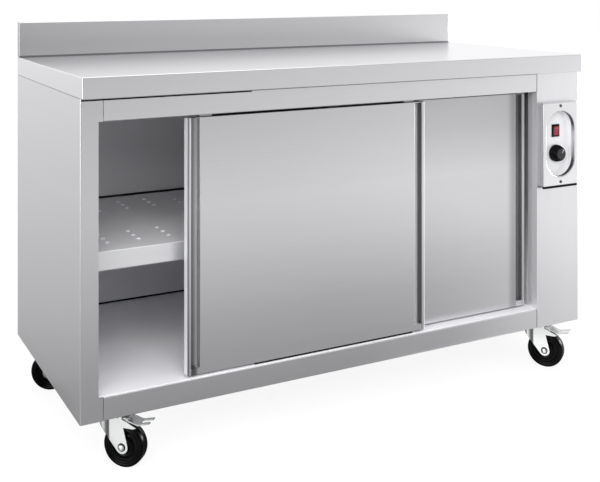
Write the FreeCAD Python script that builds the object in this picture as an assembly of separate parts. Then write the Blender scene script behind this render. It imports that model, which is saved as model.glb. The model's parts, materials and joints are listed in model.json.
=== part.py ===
import FreeCAD, Part
import math
import os

# Heated mobile cabinet: stainless worktop, two sliding doors, heater column, four swivel casters.
# Millimetres; +X to the right, +Y to the back, +Z up; origin on the floor under the worktop's centre.

# Overall sizes
WIDTH = 1400.0
DEPTH = 600.0
WORKTOP_HEIGHT = 860.0
CASTER_HEIGHT = 130.0

# Sheet metal
SHEET = 1.2
BEND = 1.4

# Worktop
SKIRT = 47.0
SKIRT_RETURN = 20.0
FRONT_OVERHANG = 16.0
UPSTAND_HEIGHT = 92.0
UPSTAND_DEPTH = 15.0
STIFFENER_WIDTH = 60.0
STIFFENER_FLANGE = 18.0
STIFFENER_INSET = 120.0

# Body frame
STILE = 40.0
STILE_TAB = 10.0
COLUMN = 148.0
TOP_RAIL = 50.0
BOTTOM_RAIL = 50.0
RAIL_RETURN = 30.0
RAIL_LIP = 4.0
RAIL_SEAM = 1.0
JAMB = 34.0
BACK_WALL = 16.0
DECK_SETBACK = 3.0
CEILING_DROP = 20.0
COVER_RECESS = 24.0
COVER_LEDGE = 15.0
DECK_BEAM_WIDTH = 50.0
DECK_BEAM_FLANGE = 18.0
DECK_BEAM_GAP = 8.0

# Sliding doors
DOOR_OVERLAP = 76.0
DOOR_DEPTH = 20.0
DOOR_SETBACK = 6.0
DOOR_SPACING = 5.0
DOOR_TOP_GAP = 6.0
DOOR_FLOOR_GAP = 5.0
DOOR_FLANGE = 12.0
DOOR_SILL = 14.0
PULL_RIM = 10.0
PULL_WIDTH = 20.0
PULL_DEPTH = 15.0
LEFT_DOOR_OPEN = 204.0
RIGHT_DOOR_OPEN = 15.0

# Door hanging gear
HANGER_WIDTH = 31.0
HANGER_SHEET = 2.5
HANGER_SETBACK = 4.0
HANGER_FOOT = 14.0
HANGER_HEAD = 8.0
ROLLER_RADIUS = 12.0
ROLLER_GROOVE = 9.5
ROLLER_WIDTH = 8.0
ROLLER_GAP = 0.8
ROLLER_HEADROOM = 4.0
ROLLER_PIN = 3.0
ROLLER_PIN_HEAD = 5.0
ROLLER_PIN_HEAD_DEPTH = 1.5
TRACK_SHEET = 1.5
TRACK_LIP = 13.0
TRACK_CLEARANCE = 1.5
GROOVE_WIDTH = 3.0
RUNNING_GAP = 0.3
RUNNING_FIT = 0.05

# Floor guide of the doors
GUIDE_LENGTH = 60.0
GUIDE_BASE = 3.4
GUIDE_RIB = 5.0
GUIDE_RISE = 9.0
GUIDE_SLOT_WIDTH = 7.0
GUIDE_SLOT_DEPTH = 11.0
GUIDE_SLOT_END = 5.0

# Shelf
SHELF_HEIGHT = 472.0
SHELF_FLANGE = 42.0
SHELF_LIP = 12.0
SHELF_SIDE_FLANGE = 20.0
SHELF_SIDE_GAP = 2.0
SHELF_FRONT_GAP = 5.0
SHELF_BACK_GAP = 12.0
SHELF_RAIL = 25.0
SHELF_RAIL_SHEET = 1.5
SHELF_RAIL_SETBACK = 20.0
SHELF_HOLE_RADIUS = 4.0
SHELF_HOLE_STEP = 37.0
SHELF_HOLES_IN_ROW = 3
SHELF_BAND_SPACING = 294.0
SHELF_CLUSTER_PITCH = 73.0
SHELF_END_MARGIN = 48.0

# Control unit on the column
CONTROL_SHIFT = -3.0
CONTROL_DROP = 192.0
BEZEL_WIDTH = 122.0
BEZEL_HEIGHT = 224.0
BEZEL_DEPTH = 14.0
BEZEL_ROUND = 2.0
WELL_WIDTH = 98.0
WELL_HEIGHT = 176.0
WELL_DEPTH = 21.0
WELL_WALL = 3.6
WELL_ROUND = 3.0
WELL_HOLE_GAP = 1.0
BEZEL_SCREW_MARGIN = 9.5
BEZEL_SCREW_RADIUS = 2.0
BEZEL_SCREW_HEAD = 4.2
BEZEL_SCREW_HEAD_DEPTH = 1.8
BEZEL_SCREW_GRIP = 8.0

# Rocker switch
SWITCH_RISE = 33.0
SWITCH_FRAME_WIDTH = 26.0
SWITCH_FRAME_HEIGHT = 34.0
SWITCH_FRAME_DEPTH = 3.0
SWITCH_BODY_WIDTH = 22.0
SWITCH_BODY_HEIGHT = 30.0
SWITCH_BODY_DEPTH = 24.0
SWITCH_POCKET_DEPTH = 12.0
ROCKER_WIDTH = 18.0
ROCKER_HEIGHT = 24.0
ROCKER_PROUD = 3.0
ROCKER_PEAK = 2.2
ROCKER_BELOW = 4.5
ROCKER_PIVOT_RADIUS = 1.5
ROCKER_PIVOT_END = 1.2
ROCKER_TILT = 7.0
ROCKER_END_GAP = 1.2

# Thermostat
KNOB_DROP = 28.0
KNOB_BASE = 46.0
KNOB_FACE = 34.0
KNOB_DEPTH = 22.0
KNOB_ROUND = 2.0
KNOB_COLLAR = 5.0
KNOB_LIFT = 1.0
SPINDLE_RADIUS = 3.0
SPINDLE_IN_BODY = 14.0
THERMOSTAT_SIDE = 36.0
THERMOSTAT_DEPTH = 32.0
BUSHING_RADIUS = 6.0

# Heater and fan inside the column
FAN_FROM_BACK = 270.0
FAN_HEIGHT = 310.0
HOUSING_SIDE = 200.0
MOTOR_RADIUS = 34.0
MOTOR_LENGTH = 44.0
MOTOR_CLEARANCE = 18.0
MOTOR_FLANGE = 42.0
MOTOR_FLANGE_DEPTH = 3.0
FAN_SHAFT_RADIUS = 4.0
FAN_SHAFT_HOLE = 7.0
FAN_SHAFT_IN_MOTOR = 30.0
IMPELLER_RADIUS = 60.0
IMPELLER_EYE = 30.0
IMPELLER_WIDTH = 34.0
IMPELLER_PLATE = 2.0
IMPELLER_HUB = 10.0
IMPELLER_LIFT = 8.0
IMPELLER_BLADES = 10
BLADE_SHEET = 1.5
ELEMENT_RING = 78.0
ELEMENT_RADIUS = 4.0
ELEMENT_BEND = 14.0
ELEMENT_FROM_PARTITION = 26.0
ELEMENT_TAIL = 12.0
ELEMENT_GAP_ANGLE = 40.0
VENT_LENGTH = 130.0
VENT_HEIGHT = 6.0
VENT_PITCH = 14.0
VENTS_IN_FIELD = 4
INTAKE_VENTS = 5
INTAKE_LENGTH = 70.0
VENT_FIELD_RISE = 70.0
LOUVRE_LENGTH = 90.0
LOUVRE_HEIGHT = 5.0
LOUVRE_PITCH = 16.0
LOUVRES = 10
LOUVRE_DROP = 120.0

# Mains entry at the back of the column
GLAND_RISE = 60.0
GLAND_BORE = 5.0
GLAND_BODY = 8.0
GLAND_HEX = 22.0
GLAND_HEX_DEPTH = 6.0
GLAND_DOME = 9.0
GLAND_DOME_DEPTH = 11.0
GLAND_NUT_DEPTH = 5.0
GLAND_INSIDE = 10.0
TERMINAL_WIDTH = 60.0
TERMINAL_DEPTH = 26.0
TERMINAL_HEIGHT = 28.0
TERMINAL_GAP = 12.0
TERMINAL_WELLS = 5
TERMINAL_WELL_RADIUS = 3.5
TERMINAL_WELL_DEPTH = 10.0

# Casters
WHEEL_DIAMETER = 95.0
WHEEL_WIDTH = 30.0
WHEEL_SHOULDER = 6.0
WHEEL_RIM = 34.0
WHEEL_DISH = 5.0
WHEEL_HUB_RADIUS = 14.0
WHEEL_HUB_PROUD = 2.0
CASTER_TRAIL = 30.0
AXLE_RADIUS = 5.0
AXLE_HEX = 17.0
AXLE_HEAD = 6.5
FORK_SHEET = 2.5
FORK_SIDE_GAP = 1.5
FORK_WHEEL_GAP = 4.0
FORK_EAR = 14.0
FORK_REACH_FRONT = 28.0
FORK_REACH_BACK = 30.0
FORK_NOSE = 12.0
FORK_BROW = 24.0
FORK_SHOULDER = 12.0
FORK_SKIRT = 29.0
FORK_SKIRT_END = 27.0
FORK_BEAK = 34.0
FORK_BEAK_DROP = 26.0
PLATE_LENGTH = 100.0
PLATE_WIDTH = 84.0
PLATE_SHEET = 3.0
PLATE_ROUND = 10.0
RACE_RADIUS = 26.0
RACE_TAPER = 4.0
RACE_DEPTH = 7.0
RACE_GAP = 0.5
KINGPIN_RADIUS = 6.0
KINGPIN_HEAD = 9.0
KINGPIN_HEAD_DEPTH = 3.0
BOLT_SPACING_X = 76.0
BOLT_SPACING_Y = 60.0
BOLT_RADIUS = 4.0
BOLT_HEX = 13.0
BOLT_HEAD = 5.0
BOLT_NUT = 6.5
BOLT_HOLE_GAP = 0.2
BACKING_EDGE = 8.0
BACKING_SHEET = 4.0
CASTER_LEFT_GAP = 10.0
CASTER_RIGHT_GAP = 12.0
CASTER_FRONT_INSET = 72.0
CASTER_BACK_INSET = 80.0

# Brake pedals of the front casters
PEDAL_SHEET = 2.5
PEDAL_WIDTH = 34.0
PEDAL_PIVOT_X = 20.0
PEDAL_PIVOT_DROP = 19.5
PEDAL_PIN = 3.0
PEDAL_BOSS = 4.4
PEDAL_REACH = 72.0
PEDAL_DIP = 12.0
PEDAL_TIP = 26.0
PEDAL_TIP_RISE = 6.0
PEDAL_NOTCH_WIDTH = 12.0
PEDAL_NOTCH_LENGTH = 24.0
SHOE_OFFSET = 9.0
SHOE_LENGTH = 14.0
SHOE_GAP = 4.4

# How each caster is turned at rest, in degrees from trailing straight to the right
FRONT_LEFT_TURN = -45.0
FRONT_RIGHT_TURN = -56.0
REAR_LEFT_TURN = 150.0
REAR_RIGHT_TURN = 160.0

# Planes of the body worked out from the sizes
LEFT = -WIDTH / 2
RIGHT = WIDTH / 2
WORKTOP_FRONT = -DEPTH / 2
BACK = DEPTH / 2
FRONT = WORKTOP_FRONT + FRONT_OVERHANG
BASE = CASTER_HEIGHT
TOP = WORKTOP_HEIGHT - SKIRT
OPEN_LEFT = LEFT + STILE
OPEN_RIGHT = RIGHT - COLUMN
RAIL_LEFT = OPEN_LEFT + STILE_TAB + RAIL_SEAM
RAIL_RIGHT = OPEN_RIGHT - RAIL_SEAM
OPEN_LOW = BASE + BOTTOM_RAIL
OPEN_HIGH = TOP - TOP_RAIL
DECK = OPEN_LOW + SHEET
LINER_BACK = BACK - BACK_WALL
OUTER_BEND = BEND + SHEET
DOOR_WIDTH = (OPEN_RIGHT - OPEN_LEFT + DOOR_OVERLAP) / 2
DOOR_LOW = DECK + DOOR_FLOOR_GAP
DOOR_HIGH = OPEN_HIGH - DOOR_TOP_GAP
FRONT_DOOR_FACE = FRONT + DOOR_SETBACK
REAR_DOOR_FACE = FRONT_DOOR_FACE + DOOR_DEPTH + DOOR_SPACING
REAR_DOOR_BACK = REAR_DOOR_FACE + DOOR_DEPTH
ROLLER_HEIGHT = TOP - SHEET - TRACK_SHEET - ROLLER_HEADROOM - ROLLER_RADIUS
ROLLER_OFFSET = HANGER_SETBACK + HANGER_SHEET + ROLLER_GAP
TRACK_WALL_OFFSET = ROLLER_OFFSET + ROLLER_WIDTH + ROLLER_PIN_HEAD_DEPTH + RUNNING_GAP + TRACK_CLEARANCE
TRACK_POCKET = REAR_DOOR_FACE + TRACK_WALL_OFFSET + TRACK_SHEET + TRACK_CLEARANCE
CONTROL_X = (OPEN_RIGHT + RIGHT) / 2 + CONTROL_SHIFT
CONTROL_Z = TOP - CONTROL_DROP
BEZEL_FACE = FRONT - BEZEL_DEPTH
WELL_FLOOR = BEZEL_FACE + WELL_DEPTH
WELL_BACK = WELL_FLOOR + SHEET
HOUSING_BACK = RIGHT - SHEET - MOTOR_CLEARANCE - MOTOR_LENGTH
AXLE_HEIGHT = WHEEL_DIAMETER / 2
CROWN = CASTER_HEIGHT - PLATE_SHEET - RACE_DEPTH - RACE_GAP
FORK_INSIDE = WHEEL_WIDTH / 2 + WHEEL_HUB_PROUD + FORK_SIDE_GAP
FORK_OUTSIDE = FORK_INSIDE + FORK_SHEET
BACKING_LENGTH = BOLT_SPACING_X + 2 * BACKING_EDGE
BACKING_WIDTH = BOLT_SPACING_Y + 2 * BACKING_EDGE
CASTER_LEFT_X = OPEN_LEFT + CASTER_LEFT_GAP + BACKING_LENGTH / 2
CASTER_RIGHT_X = OPEN_RIGHT + SHEET + CASTER_RIGHT_GAP + BACKING_LENGTH / 2
CASTER_FRONT_Y = FRONT + CASTER_FRONT_INSET
CASTER_BACK_Y = BACK - CASTER_BACK_INSET

V = FreeCAD.Vector
ALONG_X = V(1, 0, 0)
ALONG_Y = V(0, 1, 0)
ALONG_Z = V(0, 0, 1)
TOUCH = 0.001
OVERCUT = 1.0


# Shape helpers

def save(name, *solids):
    """Write one named piece, or a group of like pieces, as a STEP file."""
    shape = solids[0] if len(solids) == 1 else Part.makeCompound(list(solids))
    shape.exportStep(os.path.join("parts", name + ".step"))


def block(x0, x1, y0, y1, z0, z1):
    """Box between two planes on each axis."""
    return Part.makeBox(x1 - x0, y1 - y0, z1 - z0, V(x0, y0, z0))


def rod(radius, start, axis, length):
    """Round bar from a point along an axis."""
    return Part.makeCylinder(radius, length, start, axis)


def edges_at(shape, x=None, y=None, z=None):
    """Edges that lie wholly at the given coordinates."""
    found = []
    for edge in shape.Edges:
        box = edge.BoundBox
        spans = ((x, box.XMin, box.XMax), (y, box.YMin, box.YMax), (z, box.ZMin, box.ZMax))
        if all(at is None or (abs(low - at) < TOUCH and abs(high - at) < TOUCH) for at, low, high in spans):
            found.append(edge)
    return found


def on_yz(x):
    """Draw a profile across the cabinet, seen from its side, at one X."""
    return lambda a, b: V(x, a, b)


def on_xz(y):
    """Draw a profile seen from the front, at one Y."""
    return lambda a, b: V(a, y, b)


def on_xy(z):
    """Draw a profile seen from above, at one Z."""
    return lambda a, b: V(a, b, z)


def outline(place, start, *moves):
    """Closed face from a start point and moves: two numbers draw a line, four draw an arc through a point."""
    edges = []
    here = place(*start)
    first = here
    for move in moves:
        there = place(*move[-2:])
        if len(move) == 4:
            edges.append(Part.Arc(here, place(*move[:2]), there).toShape())
        else:
            edges.append(Part.makeLine(here, there))
        here = there
    if here.distanceToPoint(first) > TOUCH:
        edges.append(Part.makeLine(here, first))
    return Part.Face(Part.Wire(edges))


def turned(start, axis, profile_start, *moves):
    """Solid of revolution: the profile gives radius and distance along the axis from a point."""
    solid = outline(on_xz(0), profile_start, *moves).revolve(V(0, 0, 0), ALONG_Z, 360)
    solid.Placement = FreeCAD.Placement(start, FreeCAD.Rotation(ALONG_Z, axis))
    return solid


def folded(place, sweep, thickness, bend, *line):
    """Sheet folded along a line of points, with its thickness to the left of the line and round bends."""
    points = [V(a, b, 0) for a, b in line]
    headings = [(b - a).normalize() for a, b in zip(points, points[1:])]
    sides = [V(-h.y, h.x, 0) for h in headings]
    near = []
    far = []
    near_from = points[0]
    far_from = points[0] + sides[0] * thickness
    cap_start = (near_from, far_from)

    def lay(edges, *path):
        flat = [place(p.x, p.y) for p in path]
        edges.append(Part.makeLine(*flat) if len(flat) == 2 else Part.Arc(*flat).toShape())

    for corner, heading, after, side, side_after in zip(points[1:], headings, headings[1:], sides, sides[1:]):
        turn = math.atan2(heading.cross(after).z, heading.dot(after))
        near_radius = bend + thickness if turn > 0 else bend
        far_radius = bend if turn > 0 else bend + thickness
        run = near_radius * math.tan(abs(turn) / 2)
        bend_from = corner - heading * run
        bend_to = corner + after * run
        centre = bend_from + side * math.copysign(near_radius, turn)
        outward = (corner - centre).normalize()
        lay(near, near_from, bend_from)
        lay(near, bend_from, centre + outward * near_radius, bend_to)
        lay(far, far_from, bend_from + side * thickness)
        far_to = bend_to + side_after * thickness
        lay(far, bend_from + side * thickness, centre + outward * far_radius, far_to)
        near_from = bend_to
        far_from = far_to
    near_to = points[-1]
    far_to = near_to + sides[-1] * thickness
    lay(near, near_from, near_to)
    lay(far, far_from, far_to)
    cap = []
    lay(cap, near_to, far_to)
    closing = []
    lay(closing, *cap_start)
    edges = near + cap + far[::-1] + closing
    return Part.Face(Part.Wire(edges)).extrude(sweep)


def hexagon(width, start, axis, length):
    """Six-sided bolt head or nut, measured across its flats."""
    side = math.radians(60)
    radius = width / 2 / math.cos(side / 2)
    angles = [side * k for k in range(6)]
    corners = [(radius * math.cos(angle), radius * math.sin(angle)) for angle in angles]
    solid = outline(on_xy(0), *corners).extrude(V(0, 0, length))
    solid.Placement = FreeCAD.Placement(start, FreeCAD.Rotation(ALONG_Z, axis))
    return solid


def stadium(width, height, x, z, y, depth):
    """Upright slot shape with round ends, from one Y towards the back."""
    radius = width / 2
    straight = height / 2 - radius
    face = outline(
        on_xz(y),
        (x - radius, z - straight),
        (x - radius, z + straight),
        (x, z + height / 2, x + radius, z + straight),
        (x + radius, z - straight),
        (x, z - height / 2, x - radius, z - straight),
    )
    return face.extrude(V(0, depth, 0))


def folded_across(x0, x1, thickness, bend, *line):
    """Folded sheet whose section, drawn from the side, runs from one X to another."""
    return folded(on_yz(x0), V(x1 - x0, 0, 0), thickness, bend, *line)


def hat_section(x0, x1, y, z, width, height, flange):
    """Top-hat stiffener along X, standing on its flanges."""
    half = width / 2
    return folded_across(
        x0, x1, SHEET, BEND,
        (y + half + flange, z + SHEET),
        (y + half, z + SHEET),
        (y + half, z + height),
        (y - half, z + height),
        (y - half, z + SHEET),
        (y - half - flange, z + SHEET),
    )


# Worktop: a pressed tray turned upside down, with a hollow upstand welded along its back

def bent_block(left, right, front, back, low, high, bend):
    """Block with every bend of the worktop tray rounded: all its edges but those along the back."""
    slab = block(left, right, front, back, low, high)
    soft = edges_at(slab, y=front, z=high) + edges_at(slab, y=front, z=low)
    for side in (left, right):
        soft += edges_at(slab, x=side, y=front)
        soft += edges_at(slab, x=side, z=high)
        soft += edges_at(slab, x=side, z=low)
    return slab.makeFillet(bend, soft)


def worktop():
    slab = bent_block(LEFT, RIGHT, WORKTOP_FRONT, BACK, TOP, WORKTOP_HEIGHT, OUTER_BEND)
    upstand_front = BACK - UPSTAND_DEPTH
    upstand_top = WORKTOP_HEIGHT + UPSTAND_HEIGHT
    upstand = block(LEFT, RIGHT, upstand_front, BACK, TOP + SKIRT / 2, upstand_top)
    soft = edges_at(upstand, y=upstand_front, z=upstand_top)
    for side in (LEFT, RIGHT):
        soft += edges_at(upstand, x=side, z=upstand_top)
        soft += edges_at(upstand, x=side, y=upstand_front)
    upstand = upstand.makeFillet(OUTER_BEND, soft)
    left = LEFT + SHEET
    right = RIGHT - SHEET
    inside = bent_block(left, right, WORKTOP_FRONT + SHEET, BACK - SHEET,
                        TOP + SHEET, WORKTOP_HEIGHT - SHEET, BEND)
    behind = block(left, right, upstand_front + SHEET, BACK - SHEET, TOP + SHEET, upstand_top - SHEET)
    window = block(
        LEFT + SKIRT_RETURN, RIGHT - SKIRT_RETURN,
        WORKTOP_FRONT + SKIRT_RETURN, BACK - SKIRT_RETURN,
        TOP - OVERCUT, TOP + SHEET + OVERCUT,
    )
    return slab.fuse(upstand).cut([inside, behind, window]).removeSplitter()


def worktop_stiffeners():
    height = SKIRT - 2 * SHEET
    return [
        hat_section(LEFT + OUTER_BEND, RIGHT - OUTER_BEND, y, TOP + SHEET,
                    STIFFENER_WIDTH, height, STIFFENER_FLANGE)
        for y in (WORKTOP_FRONT + STIFFENER_INSET, (WORKTOP_FRONT + BACK) / 2, BACK - STIFFENER_INSET)
    ]


# Left side: an outer tray whose front flange is the stile, an inner liner and the wool between them

def left_side_outer():
    tray = block(LEFT, OPEN_LEFT, FRONT, BACK, BASE, TOP)
    tray = tray.makeFillet(OUTER_BEND, edges_at(tray, x=LEFT, y=FRONT))
    hollow = block(LEFT + SHEET, OPEN_LEFT + OVERCUT, FRONT + SHEET, BACK - SHEET, BASE + SHEET, TOP - SHEET)
    hollow = hollow.makeFillet(BEND, edges_at(hollow, x=LEFT + SHEET, y=FRONT + SHEET))
    jamb = block(OPEN_LEFT - SHEET, OPEN_LEFT, FRONT, FRONT + JAMB, OPEN_LOW, OPEN_HIGH)
    low_tab = block(OPEN_LEFT - SHEET, OPEN_LEFT + STILE_TAB, FRONT, FRONT + SHEET, BASE, OPEN_LOW)
    high_tab = block(OPEN_LEFT - SHEET, OPEN_LEFT + STILE_TAB, FRONT, FRONT + SHEET, OPEN_HIGH, TOP)
    return tray.cut(hollow).fuse([jamb, low_tab, high_tab]).removeSplitter()


def left_side_liner():
    return block(OPEN_LEFT - SHEET, OPEN_LEFT, FRONT + JAMB, BACK - SHEET, BASE + SHEET, TOP - SHEET)


def back_outer():
    return folded_across(
        OPEN_LEFT, OPEN_RIGHT, SHEET, BEND,
        (LINER_BACK, BASE),
        (BACK, BASE),
        (BACK, TOP),
        (LINER_BACK, TOP),
    )


def back_liner():
    return block(OPEN_LEFT, OPEN_RIGHT, LINER_BACK, LINER_BACK + SHEET, BASE + SHEET, TOP - SHEET)


def wall_insulation():
    side = block(LEFT + SHEET, OPEN_LEFT - SHEET, FRONT + SHEET + BEND, BACK - SHEET,
                 BASE + SHEET, TOP - SHEET)
    rear = block(OPEN_LEFT, OPEN_RIGHT, LINER_BACK + SHEET, BACK - SHEET,
                 BASE + SHEET + BEND, TOP - SHEET - BEND)
    return [side, rear]


# Base: rails, pan, beams and the cabinet floor

def bottom_rail():
    return folded_across(
        RAIL_LEFT, RAIL_RIGHT, SHEET, BEND,
        (FRONT + RAIL_RETURN, OPEN_LOW),
        (FRONT, OPEN_LOW),
        (FRONT, BASE),
        (FRONT + RAIL_RETURN, BASE),
    )


def top_rail():
    return folded_across(
        RAIL_LEFT, RAIL_RIGHT, SHEET, BEND,
        (TRACK_POCKET, TOP),
        (FRONT, TOP),
        (FRONT, OPEN_HIGH),
        (FRONT + RAIL_LIP, OPEN_HIGH),
    )


def caster_places():
    return {
        "front_left": (CASTER_LEFT_X, CASTER_FRONT_Y, FRONT_LEFT_TURN),
        "front_right": (CASTER_RIGHT_X, CASTER_FRONT_Y, FRONT_RIGHT_TURN),
        "rear_left": (CASTER_LEFT_X, CASTER_BACK_Y, REAR_LEFT_TURN),
        "rear_right": (CASTER_RIGHT_X, CASTER_BACK_Y, REAR_RIGHT_TURN),
    }


def bolt_places(x, y):
    return [
        (x + sx * BOLT_SPACING_X / 2, y + sy * BOLT_SPACING_Y / 2)
        for sx in (-1, 1)
        for sy in (-1, 1)
    ]


def bolt_holes(low, high):
    """Clearance holes for every caster bolt, between two heights."""
    holes = []
    for x, y, turn in caster_places().values():
        for bolt_x, bolt_y in bolt_places(x, y):
            holes.append(rod(BOLT_RADIUS + BOLT_HOLE_GAP, V(bolt_x, bolt_y, low), ALONG_Z, high - low))
    return holes


def base_pan():
    pan = block(OPEN_LEFT, OPEN_RIGHT, FRONT + RAIL_RETURN, LINER_BACK, BASE, BASE + SHEET)
    return pan.cut(bolt_holes(BASE - OVERCUT, BASE + SHEET + OVERCUT))


def deck_beams():
    half = DECK_BEAM_WIDTH / 2 + DECK_BEAM_FLANGE
    from_plate = BACKING_WIDTH / 2 + DECK_BEAM_GAP + half
    return [
        hat_section(OPEN_LEFT, OPEN_RIGHT, y, BASE + SHEET,
                    DECK_BEAM_WIDTH, BOTTOM_RAIL - SHEET, DECK_BEAM_FLANGE)
        for y in (CASTER_FRONT_Y + from_plate, CASTER_BACK_Y - from_plate)
    ]


def floor_deck():
    return block(OPEN_LEFT, OPEN_RIGHT, FRONT + DECK_SETBACK, LINER_BACK, OPEN_LOW, DECK)


def ceiling_liner():
    tray = block(OPEN_LEFT, OPEN_RIGHT, TRACK_POCKET, LINER_BACK, TOP - CEILING_DROP, TOP)
    hollow = block(OPEN_LEFT + SHEET, OPEN_RIGHT - SHEET, TRACK_POCKET + SHEET, LINER_BACK - SHEET,
                   TOP - CEILING_DROP + SHEET, TOP + OVERCUT)
    return tray.cut(hollow)


# Heater column: casing with the control cut-out, vented partition and recessed service cover

def column_casing():
    tray = block(OPEN_RIGHT, RIGHT, FRONT, BACK, BASE, TOP)
    tray = tray.makeFillet(OUTER_BEND, edges_at(tray, x=RIGHT, y=FRONT))
    hollow = block(OPEN_RIGHT - OVERCUT, RIGHT - SHEET, FRONT + SHEET, BACK + OVERCUT,
                   BASE + SHEET, TOP - SHEET)
    hollow = hollow.makeFillet(BEND, edges_at(hollow, x=RIGHT - SHEET, y=FRONT + SHEET))
    jamb = block(OPEN_RIGHT, OPEN_RIGHT + SHEET, FRONT, FRONT + JAMB, BASE, TOP)
    cover_face = BACK - COVER_RECESS
    ledge = block(RIGHT - SHEET - COVER_LEDGE, RIGHT - SHEET, cover_face - 2 * SHEET, cover_face - SHEET,
                  BASE + SHEET, TOP - SHEET)
    margin = 2 * (WELL_WALL + WELL_HOLE_GAP)
    hole = stadium(WELL_WIDTH + margin, WELL_HEIGHT + margin, CONTROL_X, CONTROL_Z,
                   FRONT - OVERCUT, SHEET + 2 * OVERCUT)
    screws = [
        rod(BEZEL_SCREW_RADIUS + RUNNING_FIT, V(CONTROL_X, FRONT - OVERCUT, z), ALONG_Y, SHEET + 2 * OVERCUT)
        for z in bezel_screw_heights()
    ]
    bolts = bolt_holes(BASE - OVERCUT, BASE + SHEET + OVERCUT)
    return tray.cut(hollow).fuse([jamb, ledge]).removeSplitter().cut([hole] + screws + bolts)


def fan_axis():
    return BACK - FAN_FROM_BACK, FAN_HEIGHT


def partition():
    wall = block(OPEN_RIGHT, OPEN_RIGHT + SHEET, FRONT + JAMB, BACK, BASE + SHEET, TOP - SHEET)
    y, z = fan_axis()
    slots = []
    fields = (
        (z + VENT_FIELD_RISE, VENTS_IN_FIELD, VENT_LENGTH),
        (z, INTAKE_VENTS, INTAKE_LENGTH),
        (z - VENT_FIELD_RISE, VENTS_IN_FIELD, VENT_LENGTH),
    )
    for middle, count, length in fields:
        for k in range(count):
            low = middle + (k - (count - 1) / 2) * VENT_PITCH - VENT_HEIGHT / 2
            slots.append(block(OPEN_RIGHT - OVERCUT, OPEN_RIGHT + SHEET + OVERCUT,
                               y - length / 2, y + length / 2, low, low + VENT_HEIGHT))
    return wall.cut(slots)


def service_cover():
    face = BACK - COVER_RECESS
    cover = block(OPEN_RIGHT + SHEET, RIGHT - SHEET, face - SHEET, face, BASE + SHEET, TOP - SHEET)
    middle = (OPEN_RIGHT + RIGHT) / 2
    cuts = []
    for k in range(LOUVRES):
        high = TOP - LOUVRE_DROP - k * LOUVRE_PITCH
        cuts.append(block(middle - LOUVRE_LENGTH / 2, middle + LOUVRE_LENGTH / 2,
                          face - SHEET - OVERCUT, face + OVERCUT, high - LOUVRE_HEIGHT, high))
    cuts.append(rod(GLAND_BODY + RUNNING_FIT, V(middle, face - SHEET - OVERCUT, BASE + GLAND_RISE),
                    ALONG_Y, SHEET + 2 * OVERCUT))
    return cover.cut(cuts)


# Sliding doors: a skin folded from one sheet with a pull channel at each edge, a core and a back

def door(left, face):
    """Skin, back and core of one door from its left edge and its front plane."""
    right = left + DOOR_WIDTH
    back = face + DOOR_DEPTH
    wall_low = DOOR_LOW + DOOR_SILL
    wall_high = DOOR_HIGH - SHEET
    pull = PULL_RIM + PULL_WIDTH
    well = face + PULL_DEPTH
    skin = folded(
        on_xy(wall_low), V(0, 0, wall_high - wall_low), SHEET, BEND,
        (left + DOOR_FLANGE, back),
        (left, back),
        (left, face),
        (left + PULL_RIM, face),
        (left + PULL_RIM, well),
        (left + pull, well),
        (left + pull, face),
        (right - pull, face),
        (right - pull, well),
        (right - PULL_RIM, well),
        (right - PULL_RIM, face),
        (right, face),
        (right, back),
        (right - DOOR_FLANGE, back),
    )
    ends = []
    for low, high in ((DOOR_LOW, wall_low), (wall_high, DOOR_HIGH)):
        end = block(left, right, face, back, low, high)
        upright = []
        for x in (left, right):
            for y in (face, back):
                upright += edges_at(end, x=x, y=y)
        ends.append(end.makeFillet(OUTER_BEND, upright))
    middle = face + DOOR_DEPTH / 2
    slot = block(left + GUIDE_SLOT_END, right - GUIDE_SLOT_END,
                 middle - GUIDE_SLOT_WIDTH / 2, middle + GUIDE_SLOT_WIDTH / 2,
                 DOOR_LOW - OVERCUT, DOOR_LOW + GUIDE_SLOT_DEPTH)
    skin = skin.fuse(ends).cut(slot).removeSplitter()
    panel = block(left + DOOR_FLANGE, right - DOOR_FLANGE, back - SHEET, back, wall_low, wall_high)
    inset = pull + SHEET + BEND
    core = block(left + inset, right - inset, face + SHEET, back - SHEET, wall_low, wall_high)
    return skin, panel, core


def hanger_centres(left):
    reach = PULL_RIM + PULL_WIDTH + HANGER_WIDTH / 2
    return left + reach, left + DOOR_WIDTH - reach


def hanger(x, face):
    """Bracket on the door's top edge with the riveted pin that carries a roller."""
    plate = face + HANGER_SETBACK
    bracket = folded_across(
        x - HANGER_WIDTH / 2, x + HANGER_WIDTH / 2, HANGER_SHEET, BEND,
        (plate, ROLLER_HEIGHT + HANGER_HEAD),
        (plate, DOOR_HIGH),
        (plate + HANGER_FOOT, DOOR_HIGH),
    )
    pin_length = HANGER_SHEET + ROLLER_GAP + ROLLER_WIDTH + RUNNING_GAP
    pin = rod(ROLLER_PIN, V(x, plate, ROLLER_HEIGHT), ALONG_Y, pin_length)
    head = rod(ROLLER_PIN_HEAD, V(x, plate + pin_length, ROLLER_HEIGHT), ALONG_Y, ROLLER_PIN_HEAD_DEPTH)
    return bracket.fuse([pin, head])


def roller(x, face):
    """Grooved nylon roller on the hanger's pin."""
    bore = ROLLER_PIN + RUNNING_FIT
    slope = (ROLLER_WIDTH - GROOVE_WIDTH) / 4
    return turned(
        V(x, face + ROLLER_OFFSET, ROLLER_HEIGHT), ALONG_Y,
        (bore, 0),
        (ROLLER_RADIUS, 0),
        (ROLLER_RADIUS, slope),
        (ROLLER_GROOVE, 2 * slope),
        (ROLLER_GROOVE, ROLLER_WIDTH - 2 * slope),
        (ROLLER_RADIUS, ROLLER_WIDTH - slope),
        (ROLLER_RADIUS, ROLLER_WIDTH),
        (bore, ROLLER_WIDTH),
    )


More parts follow.
